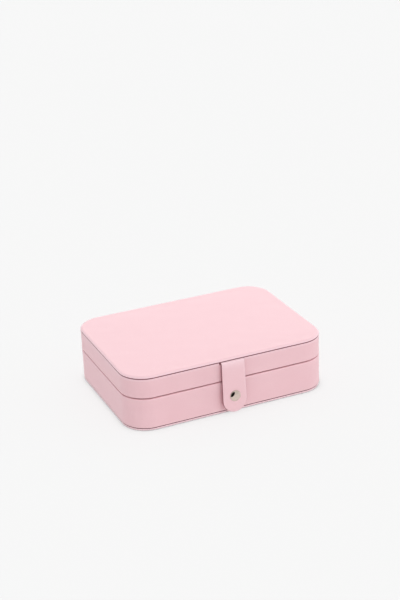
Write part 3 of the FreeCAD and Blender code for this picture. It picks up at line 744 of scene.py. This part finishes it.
outwards_tab = hung(0, 0, 1) - hung(0, 0, 0)
cap_dome = 1.7 * mm
cap_lip = 0.38 * mm
cap_set = 0.5 * mm               # how far off the middle it was pressed in
cap_sunk = -0.15 * mm            # its foot, pressed into the leather
dome_foot = cap_radius - 0.35 * mm
lip = rounded([(0, cap_sunk), (cap_radius, cap_sunk), (cap_radius, cap_lip), (dome_foot, cap_lip)],
              [0, 0.08 * mm, 0.16 * mm, 0], 0.4 * mm, closed=False)
dome_height = cap_dome - cap_lip
dome_radius = (dome_foot**2 + dome_height**2) / (2 * dome_height)
dome_reach = dome_foot * np.sin(np.linspace(math.pi / 2, 0, 24))[1:]
dome = np.stack([dome_reach, cap_dome - dome_radius + np.sqrt(dome_radius**2 - dome_reach**2)], axis=1)
snap_cap = turned("snap_cap_dome", np.concatenate([lip, dome]), hung(cap_set, snap_drop, tab_layer),
                  outwards_tab, nickel)
fit(snap_cap, "tab", "nickel_plate", "snap_cap")

# %% Socket and stud
socket_profile = rounded(
    [(0, 0), (5.0 * mm, 0), (5.0 * mm, 2.3 * mm), (3.9 * mm, 2.3 * mm), (3.5 * mm, 1.5 * mm),
     (2.3 * mm, 1.5 * mm), (2.3 * mm, 0.3 * mm), (0, 0.3 * mm)],
    [0, 0.2 * mm, 0.5 * mm, 0.3 * mm, 0.3 * mm, 0.3 * mm, 0.1 * mm, 0], 0.5 * mm, closed=False)
socket = turned("snap_ring", socket_profile, hung(0, snap_drop, -tab_layer), -outwards_tab, nickel)
fit(socket, "tab", "nickel_plate", "snap_socket")

stud_profile = rounded(
    [(0, 0), (4.5 * mm, 0), (4.5 * mm, 0.5 * mm), (2.1 * mm, 0.75 * mm), (1.75 * mm, 1.3 * mm),
     (2.0 * mm, 1.8 * mm), (2.0 * mm, 2.4 * mm), (0, 2.4 * mm)],
    [0, 0.1 * mm, 0.2 * mm, 0.2 * mm, 0.2 * mm, 0.15 * mm, 0.5 * mm, 0], 0.4 * mm, closed=False)
stud_low, stud_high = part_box("snap_stud")
snap_z = (stud_low.z + stud_high.z) / 2
stud = turned("snap_nub", stud_profile, (0, wall_low.y, snap_z), (0, -1, 0), nickel)
fit(stud, "base", "nickel_plate", "snap_stud")

# %% [markdown]
# ## Carried-over metal
# The hinge leaves and pins are right as engineering shapes, but their edges are dead sharp. A copy of each is
# merged, its flat faces are made whole again, and a small bevel is cut along its sharp edges.

# %% Softened copies of engineering parts
def softened(name, node, body, material, slot, width):
    """A copy of a node with a bevel of the given width along edges sharper than 30 degrees."""
    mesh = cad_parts[node].data.copy()
    mesh.name = name
    skin = bmesh.new()
    skin.from_mesh(mesh)
    bmesh.ops.remove_doubles(skin, verts=skin.verts, dist=0.005 * mm)
    bmesh.ops.dissolve_limit(skin, angle_limit=math.radians(1), verts=skin.verts, edges=skin.edges)
    skin.to_mesh(mesh)
    skin.free()
    mesh.materials.clear()
    mesh.materials.append(material)
    mesh.shade_smooth()
    piece = into_scene(name, mesh)
    bevel = piece.modifiers.new("edge round", "BEVEL")
    bevel.width, bevel.segments, bevel.limit_method = width, 2, "ANGLE"
    bevel.angle_limit = math.radians(30)
    bevel.use_clamp_overlap = True
    normals = piece.modifiers.new("even shading", "WEIGHTED_NORMAL")
    normals.keep_sharp = True
    return fit(piece, body, slot, node)


for side in ("left", "right"):
    for part, body in (("base_leaf", "base"), ("lid_leaf", "lid")):
        softened(f"{part}_{side}_plated", f"hinge_{part}_{side}", body, nickel, "nickel_plate", 0.12 * mm)
    softened(f"pin_{side}_plated", f"hinge_pin_{side}", "base", nickel, "nickel_plate", 0.08 * mm)

# %% Screws with a cross recess
screw_head = 1.5 * mm            # radius


def screw(x, y, top, direction, turn):
    """A countersunk screw. The head's top sinks by d * exp(-(distance to the nearer cross arm / w)^2)."""
    cone, shank, length = 0.8 * mm, 0.8 * mm, 4.8 * mm
    head = screw_head
    radius = np.concatenate([np.linspace(0, head - 0.12 * mm, 14), [head, shank, shank * 0.96, 0]])
    domed = 0.12 * mm * np.linspace(0, 1, 14) ** 2
    depth = np.concatenate([domed, [0.2 * mm, cone, length - 0.3 * mm, length]])
    angle = np.linspace(0, 2 * math.pi, 65)
    arm = radius[:, None] * np.minimum(np.abs(np.sin(angle - turn)), np.abs(np.cos(angle - turn)))
    arm_end = np.clip((1.0 * mm - radius) / (0.25 * mm), 0, 1)[:, None]
    recess = 0.4 * mm * np.exp(-((arm / (0.16 * mm)) ** 2)) * arm_end
    z = top + direction * (depth[:, None] + recess)
    return np.stack([x + radius[:, None] * np.cos(angle), y + radius[:, None] * np.sin(angle), z], axis=-1)


pin_low, pin_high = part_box("hinge_pin_right")
for body, node, direction in (("base", "base_hinge_screws", -1), ("lid", "lid_hinge_screws", 1)):
    low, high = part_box(node)
    y, face = (low.y + high.y) / 2, (high.z if direction < 0 else low.z)
    reach = high.x - screw_head
    inner = pin_low.x + pin_high.x - reach   # the same distance from the hinge's middle
    turns = np.random.default_rng(31).uniform(0, math.pi, 4)
    heads = [screw(x, y, face, direction, turn) for x, turn in zip((-reach, -inner, inner, reach), turns)]
    screws = surface(f"{body}_cross_screws", heads, nickel)
    fit(screws, body, "nickel_plate", node)

# %% [markdown]
# ## Velvet
# The inside is lined with a short-pile velvet, woven from polyester and glued to thin card. Its upright pile
# scatters light towards the edges of every fold, which is sheen, and lies over in patches where fingers have
# stroked it. Pile tufts stand about a third of a millimetre apart; they are drawn at half a millimetre.

# %% Velvet material
pile_spacing = 0.5 * mm
stroke_width = 24 * mm


def velvet(name, colour, stroked, sheen_tint):
    """Pile: fine noise for the tufts, and broad patches where it lies the other way and looks darker."""
    material, shader, place = new_material(name)
    tufts = add(material, "TexNoise", {"Vector": place, "Scale": 1 / pile_spacing, "Detail": 3.0,
                                       "Roughness": 0.7})
    strokes = add(material, "TexNoise", {"Vector": place, "Scale": 1 / stroke_width, "Detail": 2.0,
                                         "Distortion": 0.3})
    lies = add(material, "MapRange", {"Value": strokes.outputs["Fac"], "From Min": 0.35, "From Max": 0.72},
               interpolation_type="SMOOTHSTEP")
    shade = add(material, "Mix", {0: lies.outputs["Result"], 6: linear(colour), 7: linear(stroked)},
                data_type="RGBA")
    speckle = add(material, "MapRange", {"Value": tufts.outputs["Fac"], "From Min": 0.3, "From Max": 0.7,
                                         "To Min": 0.82, "To Max": 1.1})
    tinted = add(material, "VectorMath", {0: shade.outputs[2], 1: speckle.outputs["Result"]},
                 operation="MULTIPLY")
    link(material, tinted.outputs["Vector"], shader.inputs["Base Color"])
    pile = add(material, "Bump", {"Height": tufts.outputs["Fac"], "Strength": 0.7, "Distance": 0.15 * mm})
    link(material, pile.outputs["Normal"], shader.inputs["Normal"])
    shader.inputs["Roughness"].default_value = 0.9
    shader.inputs["Specular IOR Level"].default_value = 0.2
    shader.inputs["Sheen Weight"].default_value = 0.7
    shader.inputs["Sheen Roughness"].default_value = 0.35
    shader.inputs["Sheen Tint"].default_value = linear(sheen_tint)
    return material


lining_velvet = velvet("blush_velvet", "#f0d0d4", "#e6c1c6", "#fdeeef")
roll_velvet = velvet("blush_roll_velvet", "#f2d5d8", "#e9c6ca", "#fdf1f1")
print(lining_velvet.name, "with tufts", pile_spacing / mm, "mm apart")

# %% [markdown]
# ## Lining trays
# The velvet is glued to a card tray dropped inside each half. Where it climbs from the floor to the wall it
# can't make a sharp fold, so the corner is a soft round, and its top edge rolls over below the rim. The tray is
# the same kind of swept and closed profile as the panels.

# %% Lining trays
def tray(outer, inner, floor_out, floor_in, rim, seed):
    """Sweeps a wall with rolled top between two insets, and closes it below and above the floor."""
    up = 1 if rim > floor_in else -1
    profile = rounded(
        [(14 * mm, floor_out), (outer, floor_out), (outer, rim), (inner, rim), (inner, floor_in),
         (18 * mm, floor_in)],
        [0, 0.3 * mm, 0.45 * mm, 0.45 * mm, 2.2 * mm, 0], 2.0 * mm, closed=False, arc_steps=8)
    points = panel(profile, 0, 0, seed)[0]
    soft = uneven(points, 0.06 * mm, 30 * mm, 80 * mm, seed)
    points[..., 2] += up * soft
    return points


floor_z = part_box("ring_roll_1")[0].z
ceiling_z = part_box("pocket_cloth")[1].z
low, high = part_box("base_lining")
card_inset = half_x - high.x
velvet_inset = card_inset + 1.0 * mm
tray_points = tray(card_inset, velvet_inset, low.z, floor_z, high.z, 41)
fit(surface("base_velvet_tray", tray_points, lining_velvet), "base", "velvet", "base_lining")
low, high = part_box("lid_lining")
tray_points = tray(card_inset, velvet_inset, high.z, ceiling_z, low.z, 42)
fit(surface("lid_velvet_tray", tray_points, lining_velvet), "lid", "velvet", "lid_lining")

# %% [markdown]
# ## Velvet dividers
# A divider is card wrapped in velvet: its edges are pillowed, its faces nearly flat. It is the same kind of
# plate as the tab's inner tongue, stood on edge. The fixed ones run a little way into the lining, whose pile
# closes over their ends.

# %% Dividers
divider_corner = 1.6 * mm
divider_pillow = 1.35 * mm


def divider(name, node, tuck):
    """A cushion-edged plate in the node's box, its thickness along the box's thinner side. tuck is how far its
    ends and foot go into the lining."""
    low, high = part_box(node)
    thin = 0 if high.x - low.x < high.y - low.y else 1
    long = 1 - thin
    start, end, foot = low[long] - tuck, high[long] + tuck, low.z - tuck
    thickness = high[thin] - low[thin]
    u, v, off = plate([(start, foot), (end, foot), (end, high.z), (start, high.z)], [divider_corner] * 4,
                      thickness, divider_pillow, 2.5 * mm)
    points = np.zeros(u.shape + (3,))
    points[..., long], points[..., 2], points[..., thin] = u, v, (low[thin] + high[thin]) / 2 + off
    return fit(surface(name, points, lining_velvet), "base", "velvet", node)


into_lining = 0.7 * mm
divider("long_divider_pad", "long_divider", into_lining)
divider("ring_bay_pad_left", "ring_bay_wall_left", into_lining)
divider("ring_bay_pad_right", "ring_bay_wall_right", into_lining)
divider("loose_pad_rear_left", "lift_out_divider_rear_left", 0)
divider("loose_pad_rear_right", "lift_out_divider_rear_right", 0)
divider("loose_pad_side", "lift_out_divider_side", 0)

# %% [markdown]
# ## Ring rolls
# Each roll is a strip of soft foam rolled in velvet and glued shut at its ends; rings stand in the slits
# between them. Foam pushes the velvet out until it is tight, which cloth simulation shows well: a slightly
# small roll is remeshed into even cloth and blown up by a little pressure. How far any point may move is
# capped, so the roll keeps its place.

# %% Bolsters and inflation
def bolster(line, start, end, edge, rings):
    """Carries a closed line of (y, z) along x. Near each end its inset is e * (1 - sin a) where x has gone
    e * (1 - cos a), and the end face scales down to its middle."""
    normal, middle = normals(line)
    around = np.linspace(0, math.pi / 2, 7)
    near_x = np.concatenate([np.zeros(5), edge * (1 - np.cos(around))])
    near_inset = np.concatenate([np.full(5, edge), edge * (1 - np.sin(around))])
    near_scale = np.concatenate([np.linspace(0, 0.85, 5), np.ones(7)])
    straight_x = np.linspace(edge, end - start - edge, rings)[1:-1]
    x = start + np.concatenate([near_x, straight_x, end - start - near_x[::-1]])
    inset = np.concatenate([near_inset, 0 * straight_x, near_inset[::-1]])[:, None, None]
    scale = np.concatenate([near_scale, np.ones(len(straight_x)), near_scale[::-1]])[:, None, None]
    section = middle + (line - normal * inset - middle) * scale
    return np.concatenate([np.broadcast_to(x[:, None, None], section.shape[:2] + (1,)), section], axis=-1)


def inflated(piece, voxel, reach):
    """Remeshes a closed piece into even cloth and blows it up. No point moves further than reach: its path d
    becomes reach * tanh(d / reach)."""
    scene = bpy.context.scene
    even = piece.modifiers.new("even cloth", "REMESH")
    even.mode, even.voxel_size = "VOXEL", voxel
    even.use_smooth_shade = True
    seen = piece.evaluated_get(bpy.context.evaluated_depsgraph_get())
    mesh = bpy.data.meshes.new_from_object(seen)
    material = piece.data.materials[0]
    piece.modifiers.clear()
    piece.data = mesh
    mesh.materials.clear()
    mesh.materials.append(material)
    before = np.empty(len(mesh.vertices) * 3)
    mesh.vertices.foreach_get("co", before)
    cloth = piece.modifiers.new("pressure", "CLOTH")
    cloth.settings.use_pressure = True
    cloth.settings.uniform_pressure_force = 4
    cloth.settings.effector_weights.gravity = 0
    for number in range(1, 21):
        scene.frame_set(number)
    after = np.empty_like(before)
    simulated = piece.evaluated_get(bpy.context.evaluated_depsgraph_get()).data
    simulated.vertices.foreach_get("co", after)
    path = (after - before).reshape(-1, 3)
    distance = np.linalg.norm(path, axis=1, keepdims=True) + 1e-12
    moved = before.reshape(-1, 3) + path / distance * reach * np.tanh(distance / reach)
    piece.modifiers.clear()
    mesh.vertices.foreach_set("co", moved.ravel())
    mesh.update()
    scene.frame_set(1)
    print(f"{piece.name}: typical swell {np.median(distance) / mm:.2f} mm before the cap")
    return piece


# %% Ring rolls
roll_low, roll_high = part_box("ring_roll_1")
swell = 0.45 * mm
half_width, half_length = (roll_high.y - roll_low.y) / 2 - swell, roll_high.x - swell
section = rounded(
    [(-half_width, roll_low.z), (half_width, roll_low.z), (half_width, roll_high.z - swell),
     (-half_width, roll_high.z - swell)],
    [1.2 * mm, 1.2 * mm, half_width - 0.05 * mm, half_width - 0.05 * mm], 1.5 * mm, arc_steps=12)
roll = surface("roll_pattern", bolster(section, -half_length, half_length, 2.0 * mm, 40), roll_velvet)
cloth_spacing = 1.7 * mm
roll = inflated(roll, cloth_spacing, swell)
pattern = np.empty(len(roll.data.vertices) * 3)
roll.data.vertices.foreach_get("co", pattern)
pattern = pattern.reshape(-1, 3)
for number in range(1, 7):
    low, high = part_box(f"ring_roll_{number}")
    mesh = roll.data.copy()
    points = pattern + (0, (low.y + high.y) / 2, 0)
    above_floor = (pattern[:, 2] - low.z) / (high.z - low.z)
    points[:, 2] += uneven(points, 0.12 * mm, 15 * mm, 60 * mm, 60 + number) * above_floor
    mesh.vertices.foreach_set("co", points.ravel())
    mesh.name = f"ring_roll_{number}_velvet"
    piece = into_scene(mesh.name, mesh)
    smooth = piece.modifiers.new("smooth", "SUBSURF")
    smooth.levels = smooth.render_levels = 1
    fit(piece, "base", "roll_velvet", f"ring_roll_{number}")
bpy.data.objects.remove(roll)

# %% [markdown]
# ## Necklace hooks
# A leather-covered bar across the lid's ceiling carries six wire hooks. Chains hang over them, and the pocket
# behind catches their ends. The bar is stitched all round: lockstitch with bonded polyester thread, each
# stitch 3 mm long and sunk at both ends. The hooks keep their engineering shape.

# %% Thread material
waves_in_unit = 20 / (2 * math.pi)   # the bands that a wave texture makes in one unit of its coordinates
ply_spacing = math.pi * mm       # drawn coarser than on a real thread, where they are about 1 mm apart


def thread_material(name, colour, shadow):
    """Twisted polyester thread: diagonal bands along its own length, a ply apart."""
    material, shader, place = new_material(name)
    along_thread = add(material, "UVMap", uv_map="cloth").outputs["UV"]
    turn = add(material, "Mapping", {"Vector": along_thread, "Rotation": (0, 0, math.radians(35))})
    ply = add(material, "TexWave", {"Vector": turn.outputs["Vector"], "Scale": 1 / ply_spacing / waves_in_unit})
    shade = add(material, "Mix", {0: ply.outputs["Fac"], 6: linear(colour), 7: linear(shadow)},
                data_type="RGBA")
    link(material, shade.outputs[2], shader.inputs["Base Color"])
    twist = add(material, "Bump", {"Height": ply.outputs["Fac"], "Strength": 0.5, "Distance": 0.03 * mm})
    link(material, twist.outputs["Normal"], shader.inputs["Normal"])
    shader.inputs["Roughness"].default_value = 0.55
    return material


pink_thread = thread_material("polyester_thread", "#f0bfc8", "#d79aa6")
print(pink_thread.name, "with plies of", round(ply_spacing / mm, 1), "mm")

# %% Bar and stitches
bar_low, bar_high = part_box("necklace_hook_bar")
bar_corner = 4.0 * mm


def bar_outline(inset):
    """The bar's four corners seen from below, moved in by inset."""
    x0, x1, y0, y1 = bar_low.x + inset, bar_high.x - inset, bar_low.y + inset, bar_high.y - inset
    return [(x0, y0), (x1, y0), (x1, y1), (x0, y1)]


u, v, off = plate(bar_outline(0), [bar_corner] * 4, bar_high.z - bar_low.z, 0.9 * mm, 2.0 * mm)
bar_points = np.stack([u, v, (bar_low.z + bar_high.z) / 2 + off], axis=-1)
hook_bar = surface("hook_bar_leather", bar_points, outer_leather, handled=0.0, creased=0.0)
fit(hook_bar, "lid", "pink_leather", "necklace_hook_bar")


def stitch(start, end, lift, radius):
    """One stitch: a thread whose height along its length t is lift * sin(pi t), thinning into its holes."""
    t = np.linspace(0, 1, 9)[:, None, None]
    angle = np.linspace(0, 2 * math.pi, 9)[None, :, None]
    run = (end - start) / np.linalg.norm(end - start)
    side = np.array([-run[1], run[0], 0])
    size = radius * np.sqrt(np.clip(1 - (2 * t - 1) ** 6, 0, 1))
    spine = start + t * (end - start) + lift * (np.sin(math.pi * t) * np.array([0, 0, 1]))
    return spine + size * (np.cos(angle) * side + np.sin(angle) * np.array([0, 0, 1]))


stitch_pitch, stitch_length = 3.6 * mm, 3.0 * mm
stitch_lift, thread_radius = -0.22 * mm, 0.24 * mm   # they stand out downwards, on the bar's visible side
seam_line = rounded(bar_outline(2 * mm), [2.2 * mm] * 4, 1.0 * mm)
walked = np.concatenate([[0], np.cumsum(np.linalg.norm(np.diff(seam_line, axis=0), axis=1))])
count = int(walked[-1] / stitch_pitch)
starts = np.arange(count) * walked[-1] / count


def line_at(distance):
    """The point this far along the seam line, just inside the leather."""
    x, y = (np.interp(distance, walked, seam_line[:, axis]) for axis in (0, 1))
    return np.array([x, y, bar_low.z + 0.02 * mm])


stitches = [stitch(line_at(s), line_at(s + stitch_length), stitch_lift, thread_radius) for s in starts]
bar_stitches = surface("hook_bar_stitches", stitches, pink_thread)
fit(bar_stitches, "lid", "pink_leather")

# %% [markdown]
# ## Gathered pocket
# The pocket is a piece of polyester satin, cut about a sixth wider at its mouth than its place and narrowing to
# the back. Three edges are glued flat to the lid's ceiling, and the mouth is gathered onto elastic, so folds
# start at the mouth and fade towards the back. Cloth simulation would need pins along three edges, and gathers
# are easier to draw: their height is a sum of a few waves across, times how far each point is from the glued
# edges.

# %% Satin and elastic materials
thread_pitch = math.pi / 2 * mm  # drawn much coarser than in real satin, whose threads are too fine to show


def satin(name, colour, fold_colour):
    """Satin weave: long floats one way give a stretched highlight across them and fine lines along them."""
    material, shader, place = new_material(name)
    cloth = add(material, "UVMap", uv_map="cloth").outputs["UV"]
    threads = add(material, "TexWave", {"Vector": cloth, "Scale": 1 / thread_pitch / waves_in_unit,
                                        "Distortion": 1.5, "Detail": 1.0}, bands_direction="X")
    slubs = add(material, "TexNoise", {"Vector": place, "Scale": 1 / (6 * mm), "Detail": 3.0})
    shade = add(material, "Mix", {0: slubs.outputs["Fac"], 6: linear(colour), 7: linear(fold_colour)},
                data_type="RGBA")
    link(material, shade.outputs[2], shader.inputs["Base Color"])
    weave = add(material, "Bump", {"Height": threads.outputs["Fac"], "Strength": 0.35, "Distance": 0.03 * mm})
    link(material, weave.outputs["Normal"], shader.inputs["Normal"])
    shader.inputs["Roughness"].default_value = 0.38
    shader.inputs["Anisotropic"].default_value = 0.5
    shader.inputs["Sheen Weight"].default_value = 0.25
    return material


pocket_satin = satin("polyester_satin", "#eec4ca", "#e2b0b8")
elastic_satin = satin("elastic_satin", "#eabcc4", "#dca6af")

# %% Pocket
pocket_low, pocket_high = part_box("pocket_cloth")
pocket_length = pocket_high.y - pocket_low.y
side_slope = 16 * mm             # the pocket rises to its full height this far from its sides
x = np.linspace(pocket_low.x, pocket_high.x, 341)
y = np.linspace(pocket_low.y - 1.6 * mm, pocket_high.y, 61)
grid_x, grid_y = np.meshgrid(x, y)
from_side = np.clip((pocket_high.x - np.abs(grid_x)) / side_slope, 0, 1)
from_back = np.clip((pocket_high.y - grid_y) / pocket_length, 0, 1)
drop_max = ceiling_z - pocket_low.z - 1.2 * mm
belly = 0.7 * mm + drop_max * np.sin(from_side * math.pi / 2) ** 0.8 * from_back**0.55
chance = np.random.default_rng(71)
gather = np.zeros_like(grid_x)
for length in (5.2 * mm, 7.9 * mm, 11.0 * mm):
    drift = 3 * mm * np.sin(grid_y / (23 * mm) + chance.uniform(0, 6))
    gather += np.sin(2 * math.pi * (grid_x + drift) / length + chance.uniform(0, 6))
gather *= 0.6 * mm * from_back**2.2 * np.sin(from_side * math.pi / 2)
satin_thick = 0.45 * mm
lower = ceiling_z - belly - gather
upper = np.minimum(lower + satin_thick, ceiling_z - 0.02 * mm)
outside = np.stack([grid_x, grid_y, lower], axis=-1)
inside = np.stack([grid_x, grid_y, upper], axis=-1)
shell = np.concatenate([outside, inside[::-1], outside[:1]])
ends = [np.stack([outside[:, c], inside[:, c]], axis=1) for c in (0, -1)]
pocket = surface("pocket_satin_cloth", [shell] + ends, pocket_satin)
fit(pocket, "lid", "elastic_satin", "pocket_cloth")

# %% Elastic hem
hem_low, hem_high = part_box("pocket_elastic_hem")
hem_x = np.linspace(hem_low.x, hem_high.x, 681)
angle = np.linspace(0, 2 * math.pi, 19)
ruche = 1 + 0.14 * np.sin(2 * math.pi * hem_x / (2.1 * mm) + 1.2 * np.sin(hem_x / (9 * mm)))
tip = np.sqrt(np.clip(1 - (np.abs(hem_x) / hem_high.x) ** 40, 0, 1))
mouth = np.interp(hem_x, x, lower[0] - (ceiling_z - belly[0]))
mid_y, mid_z = (hem_low.y + hem_high.y) / 2, (hem_low.z + hem_high.z) / 2
hem_from_side = np.clip((hem_high.x - np.abs(hem_x)) / side_slope, 0, 1)
end_rise = (ceiling_z - 1.4 * mm - mid_z) * (1 - np.sin(hem_from_side * math.pi / 2) ** 0.8)
ring_y = mid_y + (tip * ruche)[:, None] * 1.0 * mm * np.cos(angle)
ring_z = (mid_z + end_rise + 0.35 * mouth)[:, None] + (tip * ruche)[:, None] * 0.85 * mm * np.sin(angle)
ring_x = np.broadcast_to(hem_x[:, None], ring_y.shape)
hem = surface("pocket_ruched_hem", np.stack([ring_x, ring_y, ring_z], axis=-1), elastic_satin)
fit(hem, "lid", "elastic_satin", "pocket_elastic_hem")

# %% [markdown]
# ## Board and foam
# Inside the walls and panels is grey board, pressed from waste paper, and under the lid's leather a sheet of
# open-cell foam. They hardly show, but a cut or an open seam would show them, so each gets its own finish:
# short fibres and specks on the board, round pores in the foam.

# %% Hidden materials
def speckled(name, colour, speck, size, roughness, relief):
    """Noise for fibres or pores, with the darker speck colour in its hollows and a matching bump."""
    material, shader, place = new_material(name)
    pattern = add(material, "TexNoise", {"Vector": place, "Scale": 1 / size, "Detail": 5.0, "Roughness": 0.7})
    hollow = add(material, "MapRange", {"Value": pattern.outputs["Fac"], "From Min": 0.38, "From Max": 0.6})
    shade = add(material, "Mix", {0: hollow.outputs["Result"], 6: linear(speck), 7: linear(colour)},
                data_type="RGBA")
    link(material, shade.outputs[2], shader.inputs["Base Color"])
    rough = add(material, "Bump", {"Height": pattern.outputs["Fac"], "Strength": 0.5, "Distance": relief})
    link(material, rough.outputs["Normal"], shader.inputs["Normal"])
    shader.inputs["Roughness"].default_value = roughness
    return material


grey_board = speckled("pressed_grey_board", "#a39d96", "#7d7670", 0.5 * mm, 0.9, 0.06 * mm)
white_foam = speckled("polyurethane_foam", "#efe6da", "#cdbfae", 0.8 * mm, 0.95, 0.25 * mm)
finishes = {"board": grey_board, "foam": white_foam, "rivet": nickel, "necklace_hook_": nickel}
for name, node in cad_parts.items():
    for word, material in finishes.items():
        if word in name and not node.hide_render:
            node.data.materials.clear()
            node.data.materials.append(material)
            print(name, "->", material.name)

# %% [markdown]
# ## Studio
# The case stands on white paper under soft light from all round, a little darker at the front left, which
# shades the case's left side. A large softbox behind lifts the lid's top with its broad reflection, and one in
# front and above leaves the tab's shadow on its left. The paper mostly glows by itself, as an overexposed sweep
# does. Light linking keeps both softboxes off it, and gives it an overhead light of its own, which only the
# bottom panel blocks, so the one shadow on the paper is the narrow one where the case touches it. That light is
# a very wide sun. Its multiple importance sampling is off, because with it on the whole case would block it. A
# small black flag close to the snap is seen by reflections alone: with nothing dark to reflect, bright plate
# looks like white plastic.

# %% Paper
paper_glow = 0.19
paper_white = 0.22
sky_glow = 0.58                  # what the overhead light adds to the paper
paper_reach = 10                 # metres each way
corners = [(x * paper_reach, y * paper_reach, 0) for x, y in ((-1, -1), (1, -1), (1, 1), (-1, 1))]
floor_mesh = bpy.data.meshes.new("paper")
floor_mesh.from_pydata(corners, [], [(0, 1, 2, 3)])
paper = into_scene("paper", floor_mesh)

paper_sheet, paper_shader, place = new_material("white_paper")
tooth = add(paper_sheet, "TexNoise", {"Vector": place, "Scale": 1 / (1.5 * mm), "Detail": 2.0})
pulp = add(paper_sheet, "Bump", {"Height": tooth.outputs["Fac"], "Strength": 0.1, "Distance": 0.02 * mm})
link(paper_sheet, pulp.outputs["Normal"], paper_shader.inputs["Normal"])
paper_shader.inputs["Base Color"].default_value = (paper_white,) * 3 + (1,)
paper_shader.inputs["Roughness"].default_value = 0.9
paper_shader.inputs["Specular IOR Level"].default_value = 0.0
paper_shader.inputs["Emission Color"].default_value = (1, 1, 1, 1)
paper_shader.inputs["Emission Strength"].default_value = paper_glow
floor_mesh.materials.append(paper_sheet)

# %% Light from all round
world = bpy.data.worlds.new("soft_light")
bpy.context.scene.world = world
world.use_nodes = True
world.node_tree.nodes["Background"].inputs["Color"].default_value = (1.0, 1.0, 1.0, 1)
looking = add(world, "TexCoord").outputs["Generated"]
towards_dark = Vector((-0.76, -0.62, 0.2)).normalized()
facing = add(world, "VectorMath", {0: looking, 1: towards_dark}, operation="DOT_PRODUCT")
room_light, room_shade = 0.80, 0.42
glow = add(world, "MapRange", {"Value": facing.outputs["Value"], "From Min": 0.5, "From Max": 0.95,
                               "To Min": room_light, "To Max": room_shade}, interpolation_type="SMOOTHSTEP")
link(world, glow.outputs["Result"], world.node_tree.nodes["Background"].inputs["Strength"])

# %% Softboxes
def softbox(name, direction, distance, size, power):
    """A square area light that faces the case from a direction."""
    data = bpy.data.lights.new(name, "AREA")
    data.shape, data.size, data.energy = "SQUARE", size, power
    box = into_scene(name, data)
    box.location = Vector(direction).normalized() * distance
    box.rotation_euler = Vector(direction).to_track_quat("Z", "Y").to_euler()
    return box


rear_box = softbox("rear_softbox", (0.39, 0.82, 0.42), 3.0, 2.6, 26)
front_box = softbox("front_softbox", (0.12, -0.60, 0.80), 5.0, 2.0, 52)
front_box.visible_glossy = False
all_but_paper = bpy.data.collections.new("all_but_paper")
all_but_paper.objects.link(paper)
all_but_paper.collection_objects[0].light_linking.link_state = "EXCLUDE"
for box in (rear_box, front_box):
    box.light_linking.receiver_collection = all_but_paper

# %% Overhead light on the paper
sun = bpy.data.lights.new("overhead_glow", "SUN")
sun.angle = math.radians(160)
sun.energy = sky_glow * math.pi / paper_white
sun.cycles.use_multiple_importance_sampling = False
overhead = into_scene("overhead_glow", sun)
paper_receives = bpy.data.collections.new("paper_receives")
paper_receives.objects.link(paper)
foot_blocks = bpy.data.collections.new("foot_blocks")
foot_blocks.objects.link(bottom_panel)
overhead.light_linking.receiver_collection = paper_receives
overhead.light_linking.blocker_collection = foot_blocks

# %% Flag
snap_at = hung(0, snap_drop, tab_layer + cap_dome)
flag_middle = snap_at + 45 * mm * np.array((-0.22, -0.96, 0.08))
flag_long, flag_short = 30 * mm * np.array((0.65, 0, 0.76)), 13 * mm * np.array((-0.76, 0, 0.65))
turn = np.linspace(0, 2 * math.pi, 48, endpoint=False)[:, None]
flag_line = flag_middle + flag_long * np.cos(turn) + flag_short * np.sin(turn)
flag_mesh = bpy.data.meshes.new("black_flag")
flag_mesh.from_pydata(flag_line.tolist(), [], [tuple(range(len(flag_line)))])
flag = into_scene("black_flag", flag_mesh)
flag.visible_camera = flag.visible_diffuse = flag.visible_shadow = flag.visible_transmission = False
black_felt, felt_shader = new_material("black_felt")[:2]
felt_shader.inputs["Base Color"].default_value = (0.01, 0.01, 0.01, 1)
felt_shader.inputs["Roughness"].default_value = 1.0
flag_mesh.materials.append(black_felt)
bpy.context.scene.view_settings.view_transform = "Standard"
print("studio:", [o.name for o in (paper, rear_box, front_box, flag)])
